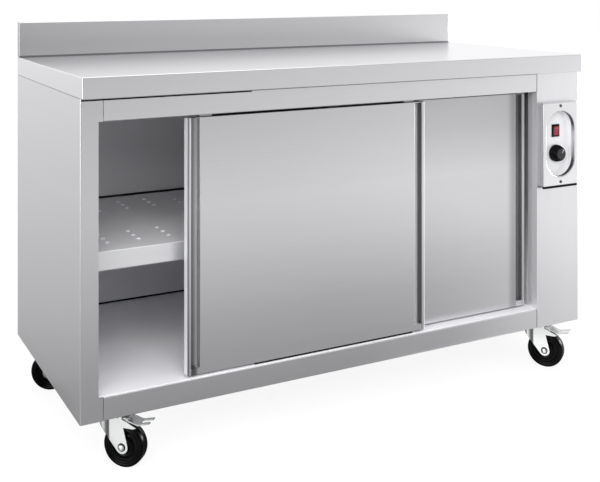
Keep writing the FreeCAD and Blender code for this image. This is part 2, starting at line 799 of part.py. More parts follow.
def door_track(face):
    """Hook-shaped track under the top rail's flange: the roller runs on the upturned lip."""
    lip = face + ROLLER_OFFSET + ROLLER_WIDTH / 2 - TRACK_SHEET / 2
    wall = face + TRACK_WALL_OFFSET
    lip_top = ROLLER_HEIGHT - ROLLER_GROOVE - RUNNING_GAP
    return folded_across(
        OPEN_LEFT, OPEN_RIGHT, TRACK_SHEET, BEND,
        (lip, lip_top),
        (lip, lip_top - TRACK_LIP),
        (wall + TRACK_SHEET, lip_top - TRACK_LIP),
        (wall + TRACK_SHEET, TOP - SHEET),
        (face + HANGER_SETBACK, TOP - SHEET),
    )


def door_guide():
    """Nylon block on the cabinet floor with a rib in the slot under each door."""
    middle = (OPEN_LEFT + OPEN_RIGHT) / 2
    x0 = middle - GUIDE_LENGTH / 2
    x1 = middle + GUIDE_LENGTH / 2
    front, back = [face + DOOR_DEPTH / 2 for face in (FRONT_DOOR_FACE, REAR_DOOR_FACE)]
    base = block(x0, x1, front, back, DECK, DECK + GUIDE_BASE)
    ribs = []
    for y in (front, back):
        rib = block(x0, x1, y - GUIDE_RIB / 2, y + GUIDE_RIB / 2, DECK, DOOR_LOW + GUIDE_RISE)
        top = [edge for edge in edges_at(rib, z=DOOR_LOW + GUIDE_RISE) if edge.Length < 2 * GUIDE_RIB]
        ribs.append(rib.makeFillet(GUIDE_RIB / 3, top))
    return base.fuse(ribs).removeSplitter()


# Shelf: a perforated tray with a deep turned-down front, on an angle rail at each end

def shelf():
    front = REAR_DOOR_BACK + SHELF_FRONT_GAP
    back = LINER_BACK - SHELF_BACK_GAP
    left = OPEN_LEFT + SHELF_SIDE_GAP
    right = OPEN_RIGHT - SHELF_SIDE_GAP
    low = SHELF_HEIGHT - SHELF_FLANGE
    side_low = SHELF_HEIGHT - SHELF_SIDE_FLANGE
    tray = folded_across(
        left, right, SHEET, BEND,
        (back, side_low),
        (back, SHELF_HEIGHT),
        (front, SHELF_HEIGHT),
        (front, low),
        (front + SHELF_LIP, low),
    )
    ends = [
        block(x0, x1, front + OUTER_BEND, back - OUTER_BEND, side_low, SHELF_HEIGHT - SHEET / 2)
        for x0, x1 in ((left, left + SHEET), (right - SHEET, right))
    ]
    middle_x = (left + right) / 2
    middle_y = (front + back) / 2
    clusters = int((right - left - 2 * SHELF_END_MARGIN) / SHELF_CLUSTER_PITCH) + 1
    holes = []
    for band in (-1, 1):
        band_y = middle_y + band * SHELF_BAND_SPACING / 2
        for k in range(SHELF_HOLES_IN_ROW):
            y = band_y + (k - (SHELF_HOLES_IN_ROW - 1) / 2) * SHELF_HOLE_STEP
            for c in range(clusters):
                x = middle_x + (c - (clusters - 1) / 2) * SHELF_CLUSTER_PITCH
                holes.append(rod(SHELF_HOLE_RADIUS, V(x, y, SHELF_HEIGHT - SHEET - OVERCUT), ALONG_Z,
                                 SHEET + 2 * OVERCUT))
    return tray.fuse(ends).cut(holes)


def shelf_rails():
    front = REAR_DOOR_BACK + SHELF_FRONT_GAP + SHELF_RAIL_SETBACK
    back = LINER_BACK - SHELF_BACK_GAP
    high = SHELF_HEIGHT - SHELF_SIDE_FLANGE
    sweep = V(0, back - front, 0)
    left = folded(
        on_xz(front), sweep, SHELF_RAIL_SHEET, BEND,
        (OPEN_LEFT + SHELF_RAIL, high),
        (OPEN_LEFT, high),
        (OPEN_LEFT, high - SHELF_RAIL),
    )
    right = folded(
        on_xz(front), sweep, SHELF_RAIL_SHEET, BEND,
        (OPEN_RIGHT, high - SHELF_RAIL),
        (OPEN_RIGHT, high),
        (OPEN_RIGHT - SHELF_RAIL, high),
    )
    return [left, right]


# Control unit: raised bezel with a dished oval well, rocker switch and thermostat knob

def bezel_screw_heights():
    reach = BEZEL_HEIGHT / 2 - BEZEL_SCREW_MARGIN
    return CONTROL_Z - reach, CONTROL_Z + reach


def switch_centre():
    return CONTROL_X, CONTROL_Z + SWITCH_RISE


def knob_centre():
    return CONTROL_X, CONTROL_Z - KNOB_DROP


def control_bezel():
    left = CONTROL_X - BEZEL_WIDTH / 2
    right = CONTROL_X + BEZEL_WIDTH / 2
    low = CONTROL_Z - BEZEL_HEIGHT / 2
    high = CONTROL_Z + BEZEL_HEIGHT / 2
    shell = block(left, right, BEZEL_FACE, FRONT, low, high)
    soft = edges_at(shell, y=BEZEL_FACE)
    for x in (left, right):
        for z in (low, high):
            soft += edges_at(shell, x=x, z=z)
    shell = shell.makeFillet(BEZEL_ROUND, soft)
    hollow = block(left + SHEET, right - SHEET, BEZEL_FACE + SHEET, FRONT + OVERCUT,
                   low + SHEET, high - SHEET)
    cup = stadium(WELL_WIDTH + 2 * WELL_WALL, WELL_HEIGHT + 2 * WELL_WALL, CONTROL_X, CONTROL_Z,
                  BEZEL_FACE, WELL_BACK - BEZEL_FACE)
    well = stadium(WELL_WIDTH, WELL_HEIGHT, CONTROL_X, CONTROL_Z, BEZEL_FACE - OVERCUT, WELL_DEPTH + OVERCUT)
    bezel = shell.cut(hollow).fuse(cup).removeSplitter().cut(well)
    mouth = []
    for edge in edges_at(bezel, y=BEZEL_FACE):
        box = edge.BoundBox
        if abs(box.Center.x - CONTROL_X) <= WELL_WIDTH / 2 + TOUCH and box.ZLength < WELL_HEIGHT \
                and abs(box.Center.z - CONTROL_Z) < WELL_HEIGHT / 2:
            mouth.append(edge)
    bezel = bezel.makeFillet(WELL_ROUND, mouth)
    switch_x, switch_z = switch_centre()
    knob_x, knob_z = knob_centre()
    gap = RUNNING_GAP
    cuts = [
        block(switch_x - SWITCH_BODY_WIDTH / 2 - gap, switch_x + SWITCH_BODY_WIDTH / 2 + gap,
              WELL_FLOOR - OVERCUT, WELL_BACK + OVERCUT,
              switch_z - SWITCH_BODY_HEIGHT / 2 - gap, switch_z + SWITCH_BODY_HEIGHT / 2 + gap),
        rod(BUSHING_RADIUS + gap, V(knob_x, WELL_FLOOR - OVERCUT, knob_z), ALONG_Y, SHEET + 2 * OVERCUT),
    ]
    for z in bezel_screw_heights():
        cuts.append(rod(BEZEL_SCREW_RADIUS + RUNNING_FIT, V(CONTROL_X, BEZEL_FACE - OVERCUT, z), ALONG_Y,
                        SHEET + 2 * OVERCUT))
    return bezel.cut(cuts)


def bezel_screws():
    screws = []
    for z in bezel_screw_heights():
        crown = BEZEL_SCREW_HEAD_DEPTH
        dome = (BEZEL_SCREW_HEAD ** 2 + crown ** 2) / (2 * crown)
        lean = math.asin(BEZEL_SCREW_HEAD / dome) / 2
        head = turned(
            V(CONTROL_X, BEZEL_FACE, z), V(0, -1, 0),
            (0, 0),
            (BEZEL_SCREW_HEAD, 0),
            (dome * math.sin(lean), crown - dome * (1 - math.cos(lean)), 0, crown),
        )
        shank = rod(BEZEL_SCREW_RADIUS, V(CONTROL_X, BEZEL_FACE, z), ALONG_Y, BEZEL_DEPTH + BEZEL_SCREW_GRIP)
        screws.append(head.fuse(shank))
    return screws


def switch_pivot():
    x, z = switch_centre()
    return V(x, WELL_FLOOR - SWITCH_FRAME_DEPTH + ROCKER_BELOW / 2, z)


def switch_housing():
    x, z = switch_centre()
    face = WELL_FLOOR - SWITCH_FRAME_DEPTH
    frame = block(x - SWITCH_FRAME_WIDTH / 2, x + SWITCH_FRAME_WIDTH / 2, face, WELL_FLOOR,
                  z - SWITCH_FRAME_HEIGHT / 2, z + SWITCH_FRAME_HEIGHT / 2)
    frame = frame.makeFillet(SWITCH_FRAME_DEPTH / 3, edges_at(frame, y=face))
    body = block(x - SWITCH_BODY_WIDTH / 2, x + SWITCH_BODY_WIDTH / 2, face + SWITCH_FRAME_DEPTH / 2,
                 WELL_BACK + SWITCH_BODY_DEPTH,
                 z - SWITCH_BODY_HEIGHT / 2, z + SWITCH_BODY_HEIGHT / 2)
    half_width = ROCKER_WIDTH / 2 + RUNNING_GAP
    half_height = ROCKER_HEIGHT / 2 + ROCKER_END_GAP
    pocket = block(x - half_width, x + half_width, face - OVERCUT, face + SWITCH_POCKET_DEPTH,
                   z - half_height, z + half_height)
    pivot = switch_pivot()
    reach = half_width + ROCKER_PIVOT_END
    bore = rod(ROCKER_PIVOT_RADIUS + RUNNING_FIT, V(x - reach, pivot.y, pivot.z), ALONG_X, 2 * reach)
    return frame.fuse(body).removeSplitter().cut([pocket, bore])


def switch_rocker():
    """Rocker with a shallow valley on its face and a trunnion at each side, tipped to its on position."""
    pivot = switch_pivot()
    face = WELL_FLOOR - SWITCH_FRAME_DEPTH - ROCKER_PROUD
    half = ROCKER_HEIGHT / 2
    rocker = outline(
        on_yz(pivot.x - ROCKER_WIDTH / 2),
        (face, pivot.z - half),
        (face + ROCKER_PEAK, pivot.z, face, pivot.z + half),
        (pivot.y + ROCKER_BELOW / 2, pivot.z + half),
        (pivot.y + ROCKER_BELOW, pivot.z),
        (pivot.y + ROCKER_BELOW / 2, pivot.z - half),
    ).extrude(V(ROCKER_WIDTH, 0, 0))
    reach = ROCKER_WIDTH / 2 + RUNNING_GAP + ROCKER_PIVOT_END - RUNNING_FIT
    trunnion = rod(ROCKER_PIVOT_RADIUS, V(pivot.x - reach, pivot.y, pivot.z), ALONG_X, 2 * reach)
    rocker = rocker.fuse(trunnion)
    rocker.rotate(pivot, ALONG_X, ROCKER_TILT)
    return rocker


def thermostat_body():
    x, z = knob_centre()
    half = THERMOSTAT_SIDE / 2
    case = block(x - half, x + half, WELL_BACK, WELL_BACK + THERMOSTAT_DEPTH, z - half, z + half)
    bushing = rod(BUSHING_RADIUS, V(x, WELL_FLOOR, z), ALONG_Y, SHEET + OVERCUT)
    bore = rod(SPINDLE_RADIUS + RUNNING_FIT, V(x, WELL_FLOOR - OVERCUT, z), ALONG_Y,
               OVERCUT + SHEET + SPINDLE_IN_BODY + RUNNING_GAP)
    return case.fuse(bushing).removeSplitter().cut(bore)


def thermostat_knob():
    """Tapered knob with a collar at its base and a soft-edged flat face, on its spindle."""
    x, z = knob_centre()
    base = KNOB_BASE / 2
    face = KNOB_FACE / 2
    corner = KNOB_ROUND * (1 - math.sqrt(0.5))
    knob = turned(
        V(x, WELL_FLOOR - KNOB_LIFT, z), V(0, -1, 0),
        (0, 0),
        (base, 0),
        (base, KNOB_COLLAR),
        (face, KNOB_DEPTH - KNOB_ROUND),
        (face - corner, KNOB_DEPTH - corner, face - KNOB_ROUND, KNOB_DEPTH),
        (0, KNOB_DEPTH),
    )
    spindle = rod(SPINDLE_RADIUS, V(x, WELL_FLOOR - KNOB_LIFT - KNOB_COLLAR, z), ALONG_Y,
                  KNOB_COLLAR + KNOB_LIFT + SHEET + SPINDLE_IN_BODY)
    return knob.fuse(spindle)


# Heater: fan housing against the partition, motor outside it, impeller and ring element inside

def fan_housing():
    y, z = fan_axis()
    half = HOUSING_SIDE / 2
    front = OPEN_RIGHT + SHEET
    box = block(front, HOUSING_BACK, y - half, y + half, z - half, z + half)
    hollow = block(front - OVERCUT, HOUSING_BACK - SHEET, y - half + SHEET, y + half - SHEET,
                   z - half + SHEET, z + half - SHEET)
    wall = HOUSING_BACK - SHEET - OVERCUT
    cuts = [rod(FAN_SHAFT_HOLE, V(wall, y, z), ALONG_X, SHEET + 2 * OVERCUT)]
    for tail in element_tails():
        cuts.append(rod(ELEMENT_RADIUS + RUNNING_FIT, V(wall, tail.y, tail.z), ALONG_X, SHEET + 2 * OVERCUT))
    return box.cut(hollow).cut(cuts)


def fan_motor():
    y, z = fan_axis()
    bore = FAN_SHAFT_RADIUS + RUNNING_FIT
    edge = MOTOR_RADIUS / 6
    return turned(
        V(HOUSING_BACK, y, z), ALONG_X,
        (bore, 0),
        (MOTOR_FLANGE, 0),
        (MOTOR_FLANGE, MOTOR_FLANGE_DEPTH),
        (MOTOR_RADIUS, MOTOR_FLANGE_DEPTH),
        (MOTOR_RADIUS, MOTOR_LENGTH - edge),
        (MOTOR_RADIUS - edge, MOTOR_LENGTH),
        (0, MOTOR_LENGTH),
        (0, FAN_SHAFT_IN_MOTOR + RUNNING_GAP),
        (bore, FAN_SHAFT_IN_MOTOR + RUNNING_GAP),
    )


def fan_impeller():
    y, z = fan_axis()
    plate = HOUSING_BACK - SHEET - IMPELLER_LIFT
    disc = rod(IMPELLER_RADIUS, V(plate - IMPELLER_PLATE, y, z), ALONG_X, IMPELLER_PLATE)
    hub = rod(IMPELLER_HUB, V(plate - IMPELLER_WIDTH / 2, y, z), ALONG_X, IMPELLER_WIDTH / 2)
    shaft = rod(FAN_SHAFT_RADIUS, V(plate - IMPELLER_WIDTH / 2, y, z), ALONG_X,
                IMPELLER_WIDTH / 2 + IMPELLER_LIFT + SHEET + FAN_SHAFT_IN_MOTOR)
    blades = []
    for k in range(IMPELLER_BLADES):
        blade = block(plate - IMPELLER_WIDTH, plate - IMPELLER_PLATE / 2,
                      y - BLADE_SHEET / 2, y + BLADE_SHEET / 2,
                      z + IMPELLER_EYE, z + IMPELLER_RADIUS - BLADE_SHEET)
        blade.rotate(V(plate, y, z), ALONG_X, 360 * k / IMPELLER_BLADES)
        blades.append(blade)
    return disc.fuse([hub, shaft] + blades)


def element_ends():
    """Both ends of the ring, beside the gap at its foot, each with the way the tube goes on from there."""
    y, z = fan_axis()
    x = OPEN_RIGHT + SHEET + ELEMENT_FROM_PARTITION
    half = math.radians(ELEMENT_GAP_ANGLE / 2)
    ends = []
    for side in (-1, 1):
        end = V(x, y + side * ELEMENT_RING * math.sin(half), z - ELEMENT_RING * math.cos(half))
        ends.append((end, V(0, -side * math.cos(half), -math.sin(half))))
    return ends


def element_tails():
    """Where the two tails of the ring element leave the housing."""
    return [end + onward * ELEMENT_BEND for end, onward in element_ends()]


def heating_element():
    """Tube bent into a ring round the impeller, with both tails through the housing wall."""
    y, z = fan_axis()
    bow = math.sqrt(0.5) * ELEMENT_BEND
    tail = V(HOUSING_BACK + ELEMENT_TAIL, 0, 0)
    (start, start_on), (stop, stop_on) = element_ends()
    start_centre = start + ALONG_X * ELEMENT_BEND
    stop_centre = stop + ALONG_X * ELEMENT_BEND
    start_turn = start_centre + start_on * ELEMENT_BEND
    stop_turn = stop_centre + stop_on * ELEMENT_BEND
    first = V(tail.x, start_turn.y, start_turn.z)
    last = V(tail.x, stop_turn.y, stop_turn.z)
    path = Part.Wire([
        Part.makeLine(first, start_turn),
        Part.Arc(start_turn, start_centre + (start_on - ALONG_X) * bow, start).toShape(),
        Part.Arc(start, V(start.x, y, z + ELEMENT_RING), stop).toShape(),
        Part.Arc(stop, stop_centre + (stop_on - ALONG_X) * bow, stop_turn).toShape(),
        Part.makeLine(stop_turn, last),
    ])
    section = Part.Wire(Part.makeCircle(ELEMENT_RADIUS, first, ALONG_X))
    return path.makePipeShell([section], True, False)


def terminal_block():
    middle = (OPEN_RIGHT + RIGHT) / 2
    back = CASTER_BACK_Y - BACKING_WIDTH / 2 - TERMINAL_GAP
    low = BASE + SHEET
    body = block(middle - TERMINAL_WIDTH / 2, middle + TERMINAL_WIDTH / 2, back - TERMINAL_DEPTH, back,
                 low, low + TERMINAL_HEIGHT)
    step = TERMINAL_WIDTH / TERMINAL_WELLS
    well_low = low + TERMINAL_HEIGHT - TERMINAL_WELL_DEPTH
    wells = []
    for k in range(TERMINAL_WELLS):
        x = middle + (k - (TERMINAL_WELLS - 1) / 2) * step
        wells.append(rod(TERMINAL_WELL_RADIUS, V(x, back - TERMINAL_DEPTH / 2, well_low), ALONG_Z,
                         TERMINAL_WELL_DEPTH + OVERCUT))
    return body.cut(wells)


def cable_gland():
    """Gland clamped in the service cover: hexagon and domed cap outside, nut inside, bore right through."""
    middle = (OPEN_RIGHT + RIGHT) / 2
    z = BASE + GLAND_RISE
    face = BACK - COVER_RECESS
    inner = face - SHEET
    hexagon_outside = hexagon(GLAND_HEX, V(middle, face, z), ALONG_Y, GLAND_HEX_DEPTH)
    corner = GLAND_DOME - GLAND_BORE
    bulge = corner * (1 - math.sqrt(0.5))
    tip = GLAND_HEX_DEPTH + GLAND_DOME_DEPTH
    dome = turned(
        V(middle, face, z), ALONG_Y,
        (0, 0),
        (GLAND_DOME, 0),
        (GLAND_DOME, tip - corner),
        (GLAND_DOME - bulge, tip - bulge, GLAND_BORE, tip),
        (0, tip),
    )
    stem = rod(GLAND_BODY, V(middle, inner - GLAND_INSIDE, z), ALONG_Y, GLAND_INSIDE + SHEET + OVERCUT)
    nut = hexagon(GLAND_HEX, V(middle, inner - GLAND_NUT_DEPTH, z), ALONG_Y, GLAND_NUT_DEPTH)
    length = GLAND_INSIDE + SHEET + tip
    bore = rod(GLAND_BORE, V(middle, inner - GLAND_INSIDE - OVERCUT, z), ALONG_Y, length + 2 * OVERCUT)
    return hexagon_outside.fuse([dome, stem, nut]).cut(bore)


# Casters: drawn trailing to the right about the swivel axis, then turned and moved to their corners

def caster_plate(x, y):
    """Top plate with its pressed raceway and riveted king pin."""
    low = CASTER_HEIGHT - PLATE_SHEET
    plate = block(x - PLATE_LENGTH / 2, x + PLATE_LENGTH / 2, y - PLATE_WIDTH / 2, y + PLATE_WIDTH / 2,
                  low, CASTER_HEIGHT)
    corners = []
    for side_x in (-1, 1):
        for side_y in (-1, 1):
            corners += edges_at(plate, x=x + side_x * PLATE_LENGTH / 2, y=y + side_y * PLATE_WIDTH / 2)
    plate = plate.makeFillet(PLATE_ROUND, corners)
    pin_reach = RACE_DEPTH + RACE_GAP + FORK_SHEET + RACE_GAP
    race = turned(
        V(x, y, low), V(0, 0, -1),
        (0, -PLATE_SHEET / 2),
        (RACE_RADIUS, -PLATE_SHEET / 2),
        (RACE_RADIUS, 0),
        (RACE_RADIUS - RACE_TAPER, RACE_DEPTH),
        (KINGPIN_RADIUS, RACE_DEPTH),
        (KINGPIN_RADIUS, pin_reach),
        (KINGPIN_HEAD, pin_reach),
        (KINGPIN_HEAD, pin_reach + KINGPIN_HEAD_DEPTH),
        (0, pin_reach + KINGPIN_HEAD_DEPTH),
    )
    holes = [
        rod(BOLT_RADIUS + BOLT_HOLE_GAP, V(bolt_x, bolt_y, low - OVERCUT), ALONG_Z, PLATE_SHEET + 2 * OVERCUT)
        for bolt_x, bolt_y in bolt_places(x, y)
    ]
    return plate.fuse(race).cut(holes)


def backing_plate(x, y):
    """Steel pad inside the base that the caster bolts clamp against."""
    low = BASE + SHEET
    pad = block(x - BACKING_LENGTH / 2, x + BACKING_LENGTH / 2, y - BACKING_WIDTH / 2, y + BACKING_WIDTH / 2,
                low, low + BACKING_SHEET)
    holes = [
        rod(BOLT_RADIUS + BOLT_HOLE_GAP, V(bolt_x, bolt_y, low - OVERCUT), ALONG_Z,
            BACKING_SHEET + 2 * OVERCUT)
        for bolt_x, bolt_y in bolt_places(x, y)
    ]
    return pad.cut(holes)


def caster_bolt(x, y):
    """Hexagon bolt from under the plate, with its nut on the backing plate."""
    plate_low = CASTER_HEIGHT - PLATE_SHEET
    nut_low = BASE + SHEET + BACKING_SHEET
    head = hexagon(BOLT_HEX, V(x, y, plate_low - BOLT_HEAD), ALONG_Z, BOLT_HEAD)
    shank = rod(BOLT_RADIUS, V(x, y, plate_low - BOLT_HEAD / 2), ALONG_Z,
                nut_low + BOLT_NUT - plate_low + BOLT_HEAD / 2 + OVERCUT)
    nut = hexagon(BOLT_HEX, V(x, y, nut_low), ALONG_Z, BOLT_NUT)
    return head.fuse([shank, nut])


def tangent_angle(point, centre, radius, side):
    """Angle on a circle where a straight edge from a point touches it."""
    away_x = point[0] - centre[0]
    away_z = point[1] - centre[1]
    return math.atan2(away_z, away_x) + side * math.acos(radius / math.hypot(away_x, away_z))


def fork(braked):
    """Pressed fork: crown, round-nosed brow, two tapering legs and a beak over the tread on each side."""
    axle = (CASTER_TRAIL, AXLE_HEIGHT)
    skirt_low = CROWN - FORK_SKIRT
    brow_foot = (-FORK_REACH_FRONT, CROWN - FORK_BROW)
    leg_top = (CASTER_TRAIL + FORK_EAR / 4, skirt_low)
    back_angle = tangent_angle(leg_top, axle, FORK_EAR, -1)
    front_angle = tangent_angle(brow_foot, axle, FORK_EAR, 1) - 2 * math.pi
    middle_angle = (back_angle + front_angle) / 2

    def ear(angle):
        return axle[0] + FORK_EAR * math.cos(angle), axle[1] + FORK_EAR * math.sin(angle)

    sides = outline(
        on_xz(-FORK_OUTSIDE),
        (-FORK_REACH_FRONT, CROWN),
        (FORK_REACH_BACK, CROWN),
        (FORK_REACH_BACK, CROWN - FORK_SHOULDER),
        (CASTER_TRAIL + FORK_BEAK, CROWN - FORK_BEAK_DROP),
        (CASTER_TRAIL + FORK_SKIRT_END, skirt_low),
        leg_top,
        ear(back_angle),
        ear(middle_angle) + ear(front_angle),
        brow_foot,
    ).extrude(V(0, 2 * FORK_OUTSIDE, 0))
    foot_x, foot_z = ear(front_angle)
    slope = math.atan2(foot_z - brow_foot[1], foot_x - brow_foot[0])
    lean_x = -FORK_SHEET * math.sin(slope)
    lean_z = FORK_SHEET * math.cos(slope)
    inner_front = -FORK_REACH_FRONT + FORK_SHEET
    inner_top = brow_foot[1] + lean_z + (FORK_SHEET - lean_x) * math.tan(slope)
    clear_back = CASTER_TRAIL + 2 * FORK_BEAK
    clear_low = AXLE_HEIGHT - 2 * FORK_EAR
    inside = outline(
        on_xz(-FORK_INSIDE),
        (inner_front, CROWN - FORK_SHEET),
        (clear_back, CROWN - FORK_SHEET),
        (clear_back, clear_low),
        (foot_x + lean_x, clear_low),
        (foot_x + lean_x, foot_z + lean_z),
        (inner_front, inner_top),
    ).extrude(V(0, 2 * FORK_INSIDE, 0))
    for side in (-1, 1):
        sides = sides.makeFillet(FORK_NOSE, edges_at(sides, x=-FORK_REACH_FRONT, y=side * FORK_OUTSIDE))
        inner_edges = edges_at(inside, x=inner_front, y=side * FORK_INSIDE)
        inside = inside.makeFillet(FORK_NOSE - FORK_SHEET, inner_edges)
    tunnel = rod(AXLE_HEIGHT + FORK_WHEEL_GAP, V(axle[0], -FORK_INSIDE, axle[1]), ALONG_Y, 2 * FORK_INSIDE)
    pin_hole = rod(KINGPIN_RADIUS + RUNNING_FIT, V(0, 0, CROWN - FORK_SHEET - OVERCUT), ALONG_Z,
                   FORK_SHEET + 2 * OVERCUT)
    across = FORK_OUTSIDE + OVERCUT
    axle_hole = rod(AXLE_RADIUS + RUNNING_FIT, V(axle[0], -across, axle[1]), ALONG_Y, 2 * across)
    cuts = [inside, tunnel, pin_hole, axle_hole]
    if braked:
        x, z = pedal_pivot()
        cuts.append(rod(PEDAL_PIN + RUNNING_FIT, V(x, -across, z), ALONG_Y, 2 * across))
    return sides.cut(cuts)


def axle_bolt():
    """Axle bolt through the wheel, with its head on one leg and a lock nut on the other."""
    x = CASTER_TRAIL
    z = AXLE_HEIGHT
    head = hexagon(AXLE_HEX, V(x, -FORK_OUTSIDE - AXLE_HEAD, z), ALONG_Y, AXLE_HEAD)
    shank = rod(AXLE_RADIUS, V(x, -FORK_OUTSIDE - AXLE_HEAD / 2, z), ALONG_Y,
                2 * FORK_OUTSIDE + 2 * AXLE_HEAD)
    nut = hexagon(AXLE_HEX, V(x, FORK_OUTSIDE, z), ALONG_Y, AXLE_HEAD)
    return head.fuse([shank, nut])


def wheel():
    """Solid wheel with round shoulders, a dished web and a hub that bears on the axle."""
    bore = AXLE_RADIUS + RUNNING_FIT
    tread = AXLE_HEIGHT
    half = WHEEL_WIDTH / 2
    hub = half + WHEEL_HUB_PROUD
    web = half - WHEEL_DISH
    soft = WHEEL_SHOULDER
    bulge = soft * (1 - math.sqrt(0.5))
    slant = WHEEL_DISH / 2
    return turned(
        V(CASTER_TRAIL, 0, AXLE_HEIGHT), ALONG_Y,
        (bore, -hub),
        (WHEEL_HUB_RADIUS, -hub),
        (WHEEL_HUB_RADIUS + slant, -web),
        (WHEEL_RIM - slant, -web),
        (WHEEL_RIM, -half),
        (tread - soft, -half),
        (tread - bulge, -half + bulge, tread, -half + soft),
        (tread, half - soft),
        (tread - bulge, half - bulge, tread - soft, half),
        (WHEEL_RIM, half),
        (WHEEL_RIM - slant, web),
        (WHEEL_HUB_RADIUS + slant, web),
        (WHEEL_HUB_RADIUS, hub),
        (bore, hub),
    )


def pedal_pivot():
    return PEDAL_PIVOT_X, CASTER_HEIGHT - PEDAL_PIVOT_DROP


def brake_pedal():
    """Two-pronged pedal on a cross pin, with the shoe that presses on the tread under it."""
    x, z = pedal_pivot()
    half = PEDAL_WIDTH / 2
    top = z + PEDAL_SHEET / 2
    toe = x + PEDAL_REACH
    plate = folded(
        on_xz(-half), V(0, PEDAL_WIDTH, 0), PEDAL_SHEET, BEND,
        (toe, top - PEDAL_DIP + PEDAL_TIP_RISE),
        (toe - PEDAL_TIP, top - PEDAL_DIP),
        (x, top),
    )
    notch = block(toe - PEDAL_NOTCH_LENGTH, toe + OVERCUT, -PEDAL_NOTCH_WIDTH / 2, PEDAL_NOTCH_WIDTH / 2,
                  z - 2 * PEDAL_DIP, z + 2 * PEDAL_DIP)
    boss = rod(PEDAL_BOSS, V(x, -half, z), ALONG_Y, PEDAL_WIDTH)
    pin = rod(PEDAL_PIN, V(x, -FORK_OUTSIDE, z), ALONG_Y, 2 * FORK_OUTSIDE)
    shoe = block(x + SHOE_OFFSET, x + SHOE_OFFSET + SHOE_LENGTH, -half, half, AXLE_HEIGHT, z)
    tread = rod(AXLE_HEIGHT + SHOE_GAP, V(CASTER_TRAIL, -half - OVERCUT, AXLE_HEIGHT), ALONG_Y,
                PEDAL_WIDTH + 2 * OVERCUT)
    return plate.cut(notch).fuse([boss, pin, shoe.cut(tread)])


def placed(solid, x, y, turn):
    """Turn a caster piece about its swivel axis and move it to its corner."""
    solid.rotate(V(0, 0, 0), ALONG_Z, turn)
    solid.translate(V(x, y, 0))
    return solid


# Write every piece

os.makedirs("parts", exist_ok=True)

save("worktop", worktop())
save("left_side_outer", left_side_outer())
save("left_side_liner", left_side_liner())
save("back_outer", back_outer())
save("back_liner", back_liner())
save("wall_insulation", *wall_insulation())
save("top_rail", top_rail())
save("bottom_rail", bottom_rail())
save("base_pan", base_pan())
save("stiffening_channels", *worktop_stiffeners(), *deck_beams())
save("floor_deck", floor_deck())
save("ceiling_liner", ceiling_liner())
save("column_casing", column_casing())
save("partition", partition())
save("service_cover", service_cover())
save("shelf", shelf())
save("shelf_rails", *shelf_rails())
save("door_tracks", door_track(FRONT_DOOR_FACE), door_track(REAR_DOOR_FACE))
save("door_guide", door_guide())

door_places = {
    "left_door": (OPEN_LEFT + LEFT_DOOR_OPEN, FRONT_DOOR_FACE),
    "right_door": (OPEN_RIGHT - RIGHT_DOOR_OPEN - DOOR_WIDTH, REAR_DOOR_FACE),
}
for name, (left_edge, face_plane) in door_places.items():
    skin, panel, core = door(left_edge, face_plane)
    save(name + "_skin", skin)
    save(name + "_back", panel)
    save(name + "_core", core)
    centres = hanger_centres(left_edge)
    save(name + "_hangers", *[hanger(centre, face_plane) for centre in centres])
    for end, centre in zip(("left", "right"), centres):
        save(name + "_" + end + "_roller", roller(centre, face_plane))

save("control_bezel", control_bezel())
save("bezel_screws", *bezel_screws())
save("switch_housing", switch_housing())
save("switch_rocker", switch_rocker())
save("thermostat_body", thermostat_body())
save("thermostat_knob", thermostat_knob())
save("fan_housing", fan_housing())
save("fan_motor", fan_motor())
save("fan_impeller", fan_impeller())
save("heating_element", heating_element())
save("terminal_block", terminal_block())
save("cable_gland", cable_gland())

corners = caster_places()
save("caster_plates", *[caster_plate(x, y) for x, y, turn in corners.values()])
save("caster_backing_plates", *[backing_plate(x, y) for x, y, turn in corners.values()])
save("caster_bolts", *[caster_bolt(*spot) for x, y, turn in corners.values() for spot in bolt_places(x, y)])
for name, (x, y, turn) in corners.items():
    braked = name.startswith("front")
    save(name + "_fork", placed(fork(braked), x, y, turn))
    save(name + "_axle", placed(axle_bolt(), x, y, turn))
    save(name + "_wheel", placed(wheel(), x, y, turn))
    if braked:
        save(name + "_brake_pedal", placed(brake_pedal(), x, y, turn))
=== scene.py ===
import json
import math

import bmesh
import bpy
from mathutils import Matrix, Vector

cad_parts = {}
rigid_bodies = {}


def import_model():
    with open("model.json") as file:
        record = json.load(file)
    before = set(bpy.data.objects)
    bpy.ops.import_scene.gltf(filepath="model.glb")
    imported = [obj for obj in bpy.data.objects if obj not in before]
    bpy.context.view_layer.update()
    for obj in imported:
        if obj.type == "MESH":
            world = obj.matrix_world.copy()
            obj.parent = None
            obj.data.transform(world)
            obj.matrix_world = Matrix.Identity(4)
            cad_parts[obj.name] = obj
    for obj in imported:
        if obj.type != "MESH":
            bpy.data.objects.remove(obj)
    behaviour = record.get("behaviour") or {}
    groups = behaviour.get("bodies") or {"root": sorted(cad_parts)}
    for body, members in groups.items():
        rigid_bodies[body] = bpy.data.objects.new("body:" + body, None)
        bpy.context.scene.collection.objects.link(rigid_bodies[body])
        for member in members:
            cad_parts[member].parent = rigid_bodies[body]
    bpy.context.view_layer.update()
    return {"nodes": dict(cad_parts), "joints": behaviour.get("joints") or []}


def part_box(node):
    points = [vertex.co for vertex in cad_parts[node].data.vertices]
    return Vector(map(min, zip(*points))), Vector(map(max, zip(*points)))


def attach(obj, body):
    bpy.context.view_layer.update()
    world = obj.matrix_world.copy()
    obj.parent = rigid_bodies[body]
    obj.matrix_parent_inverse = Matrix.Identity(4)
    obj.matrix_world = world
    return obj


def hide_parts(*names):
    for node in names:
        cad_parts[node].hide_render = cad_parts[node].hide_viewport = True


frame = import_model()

nodes = frame["nodes"]


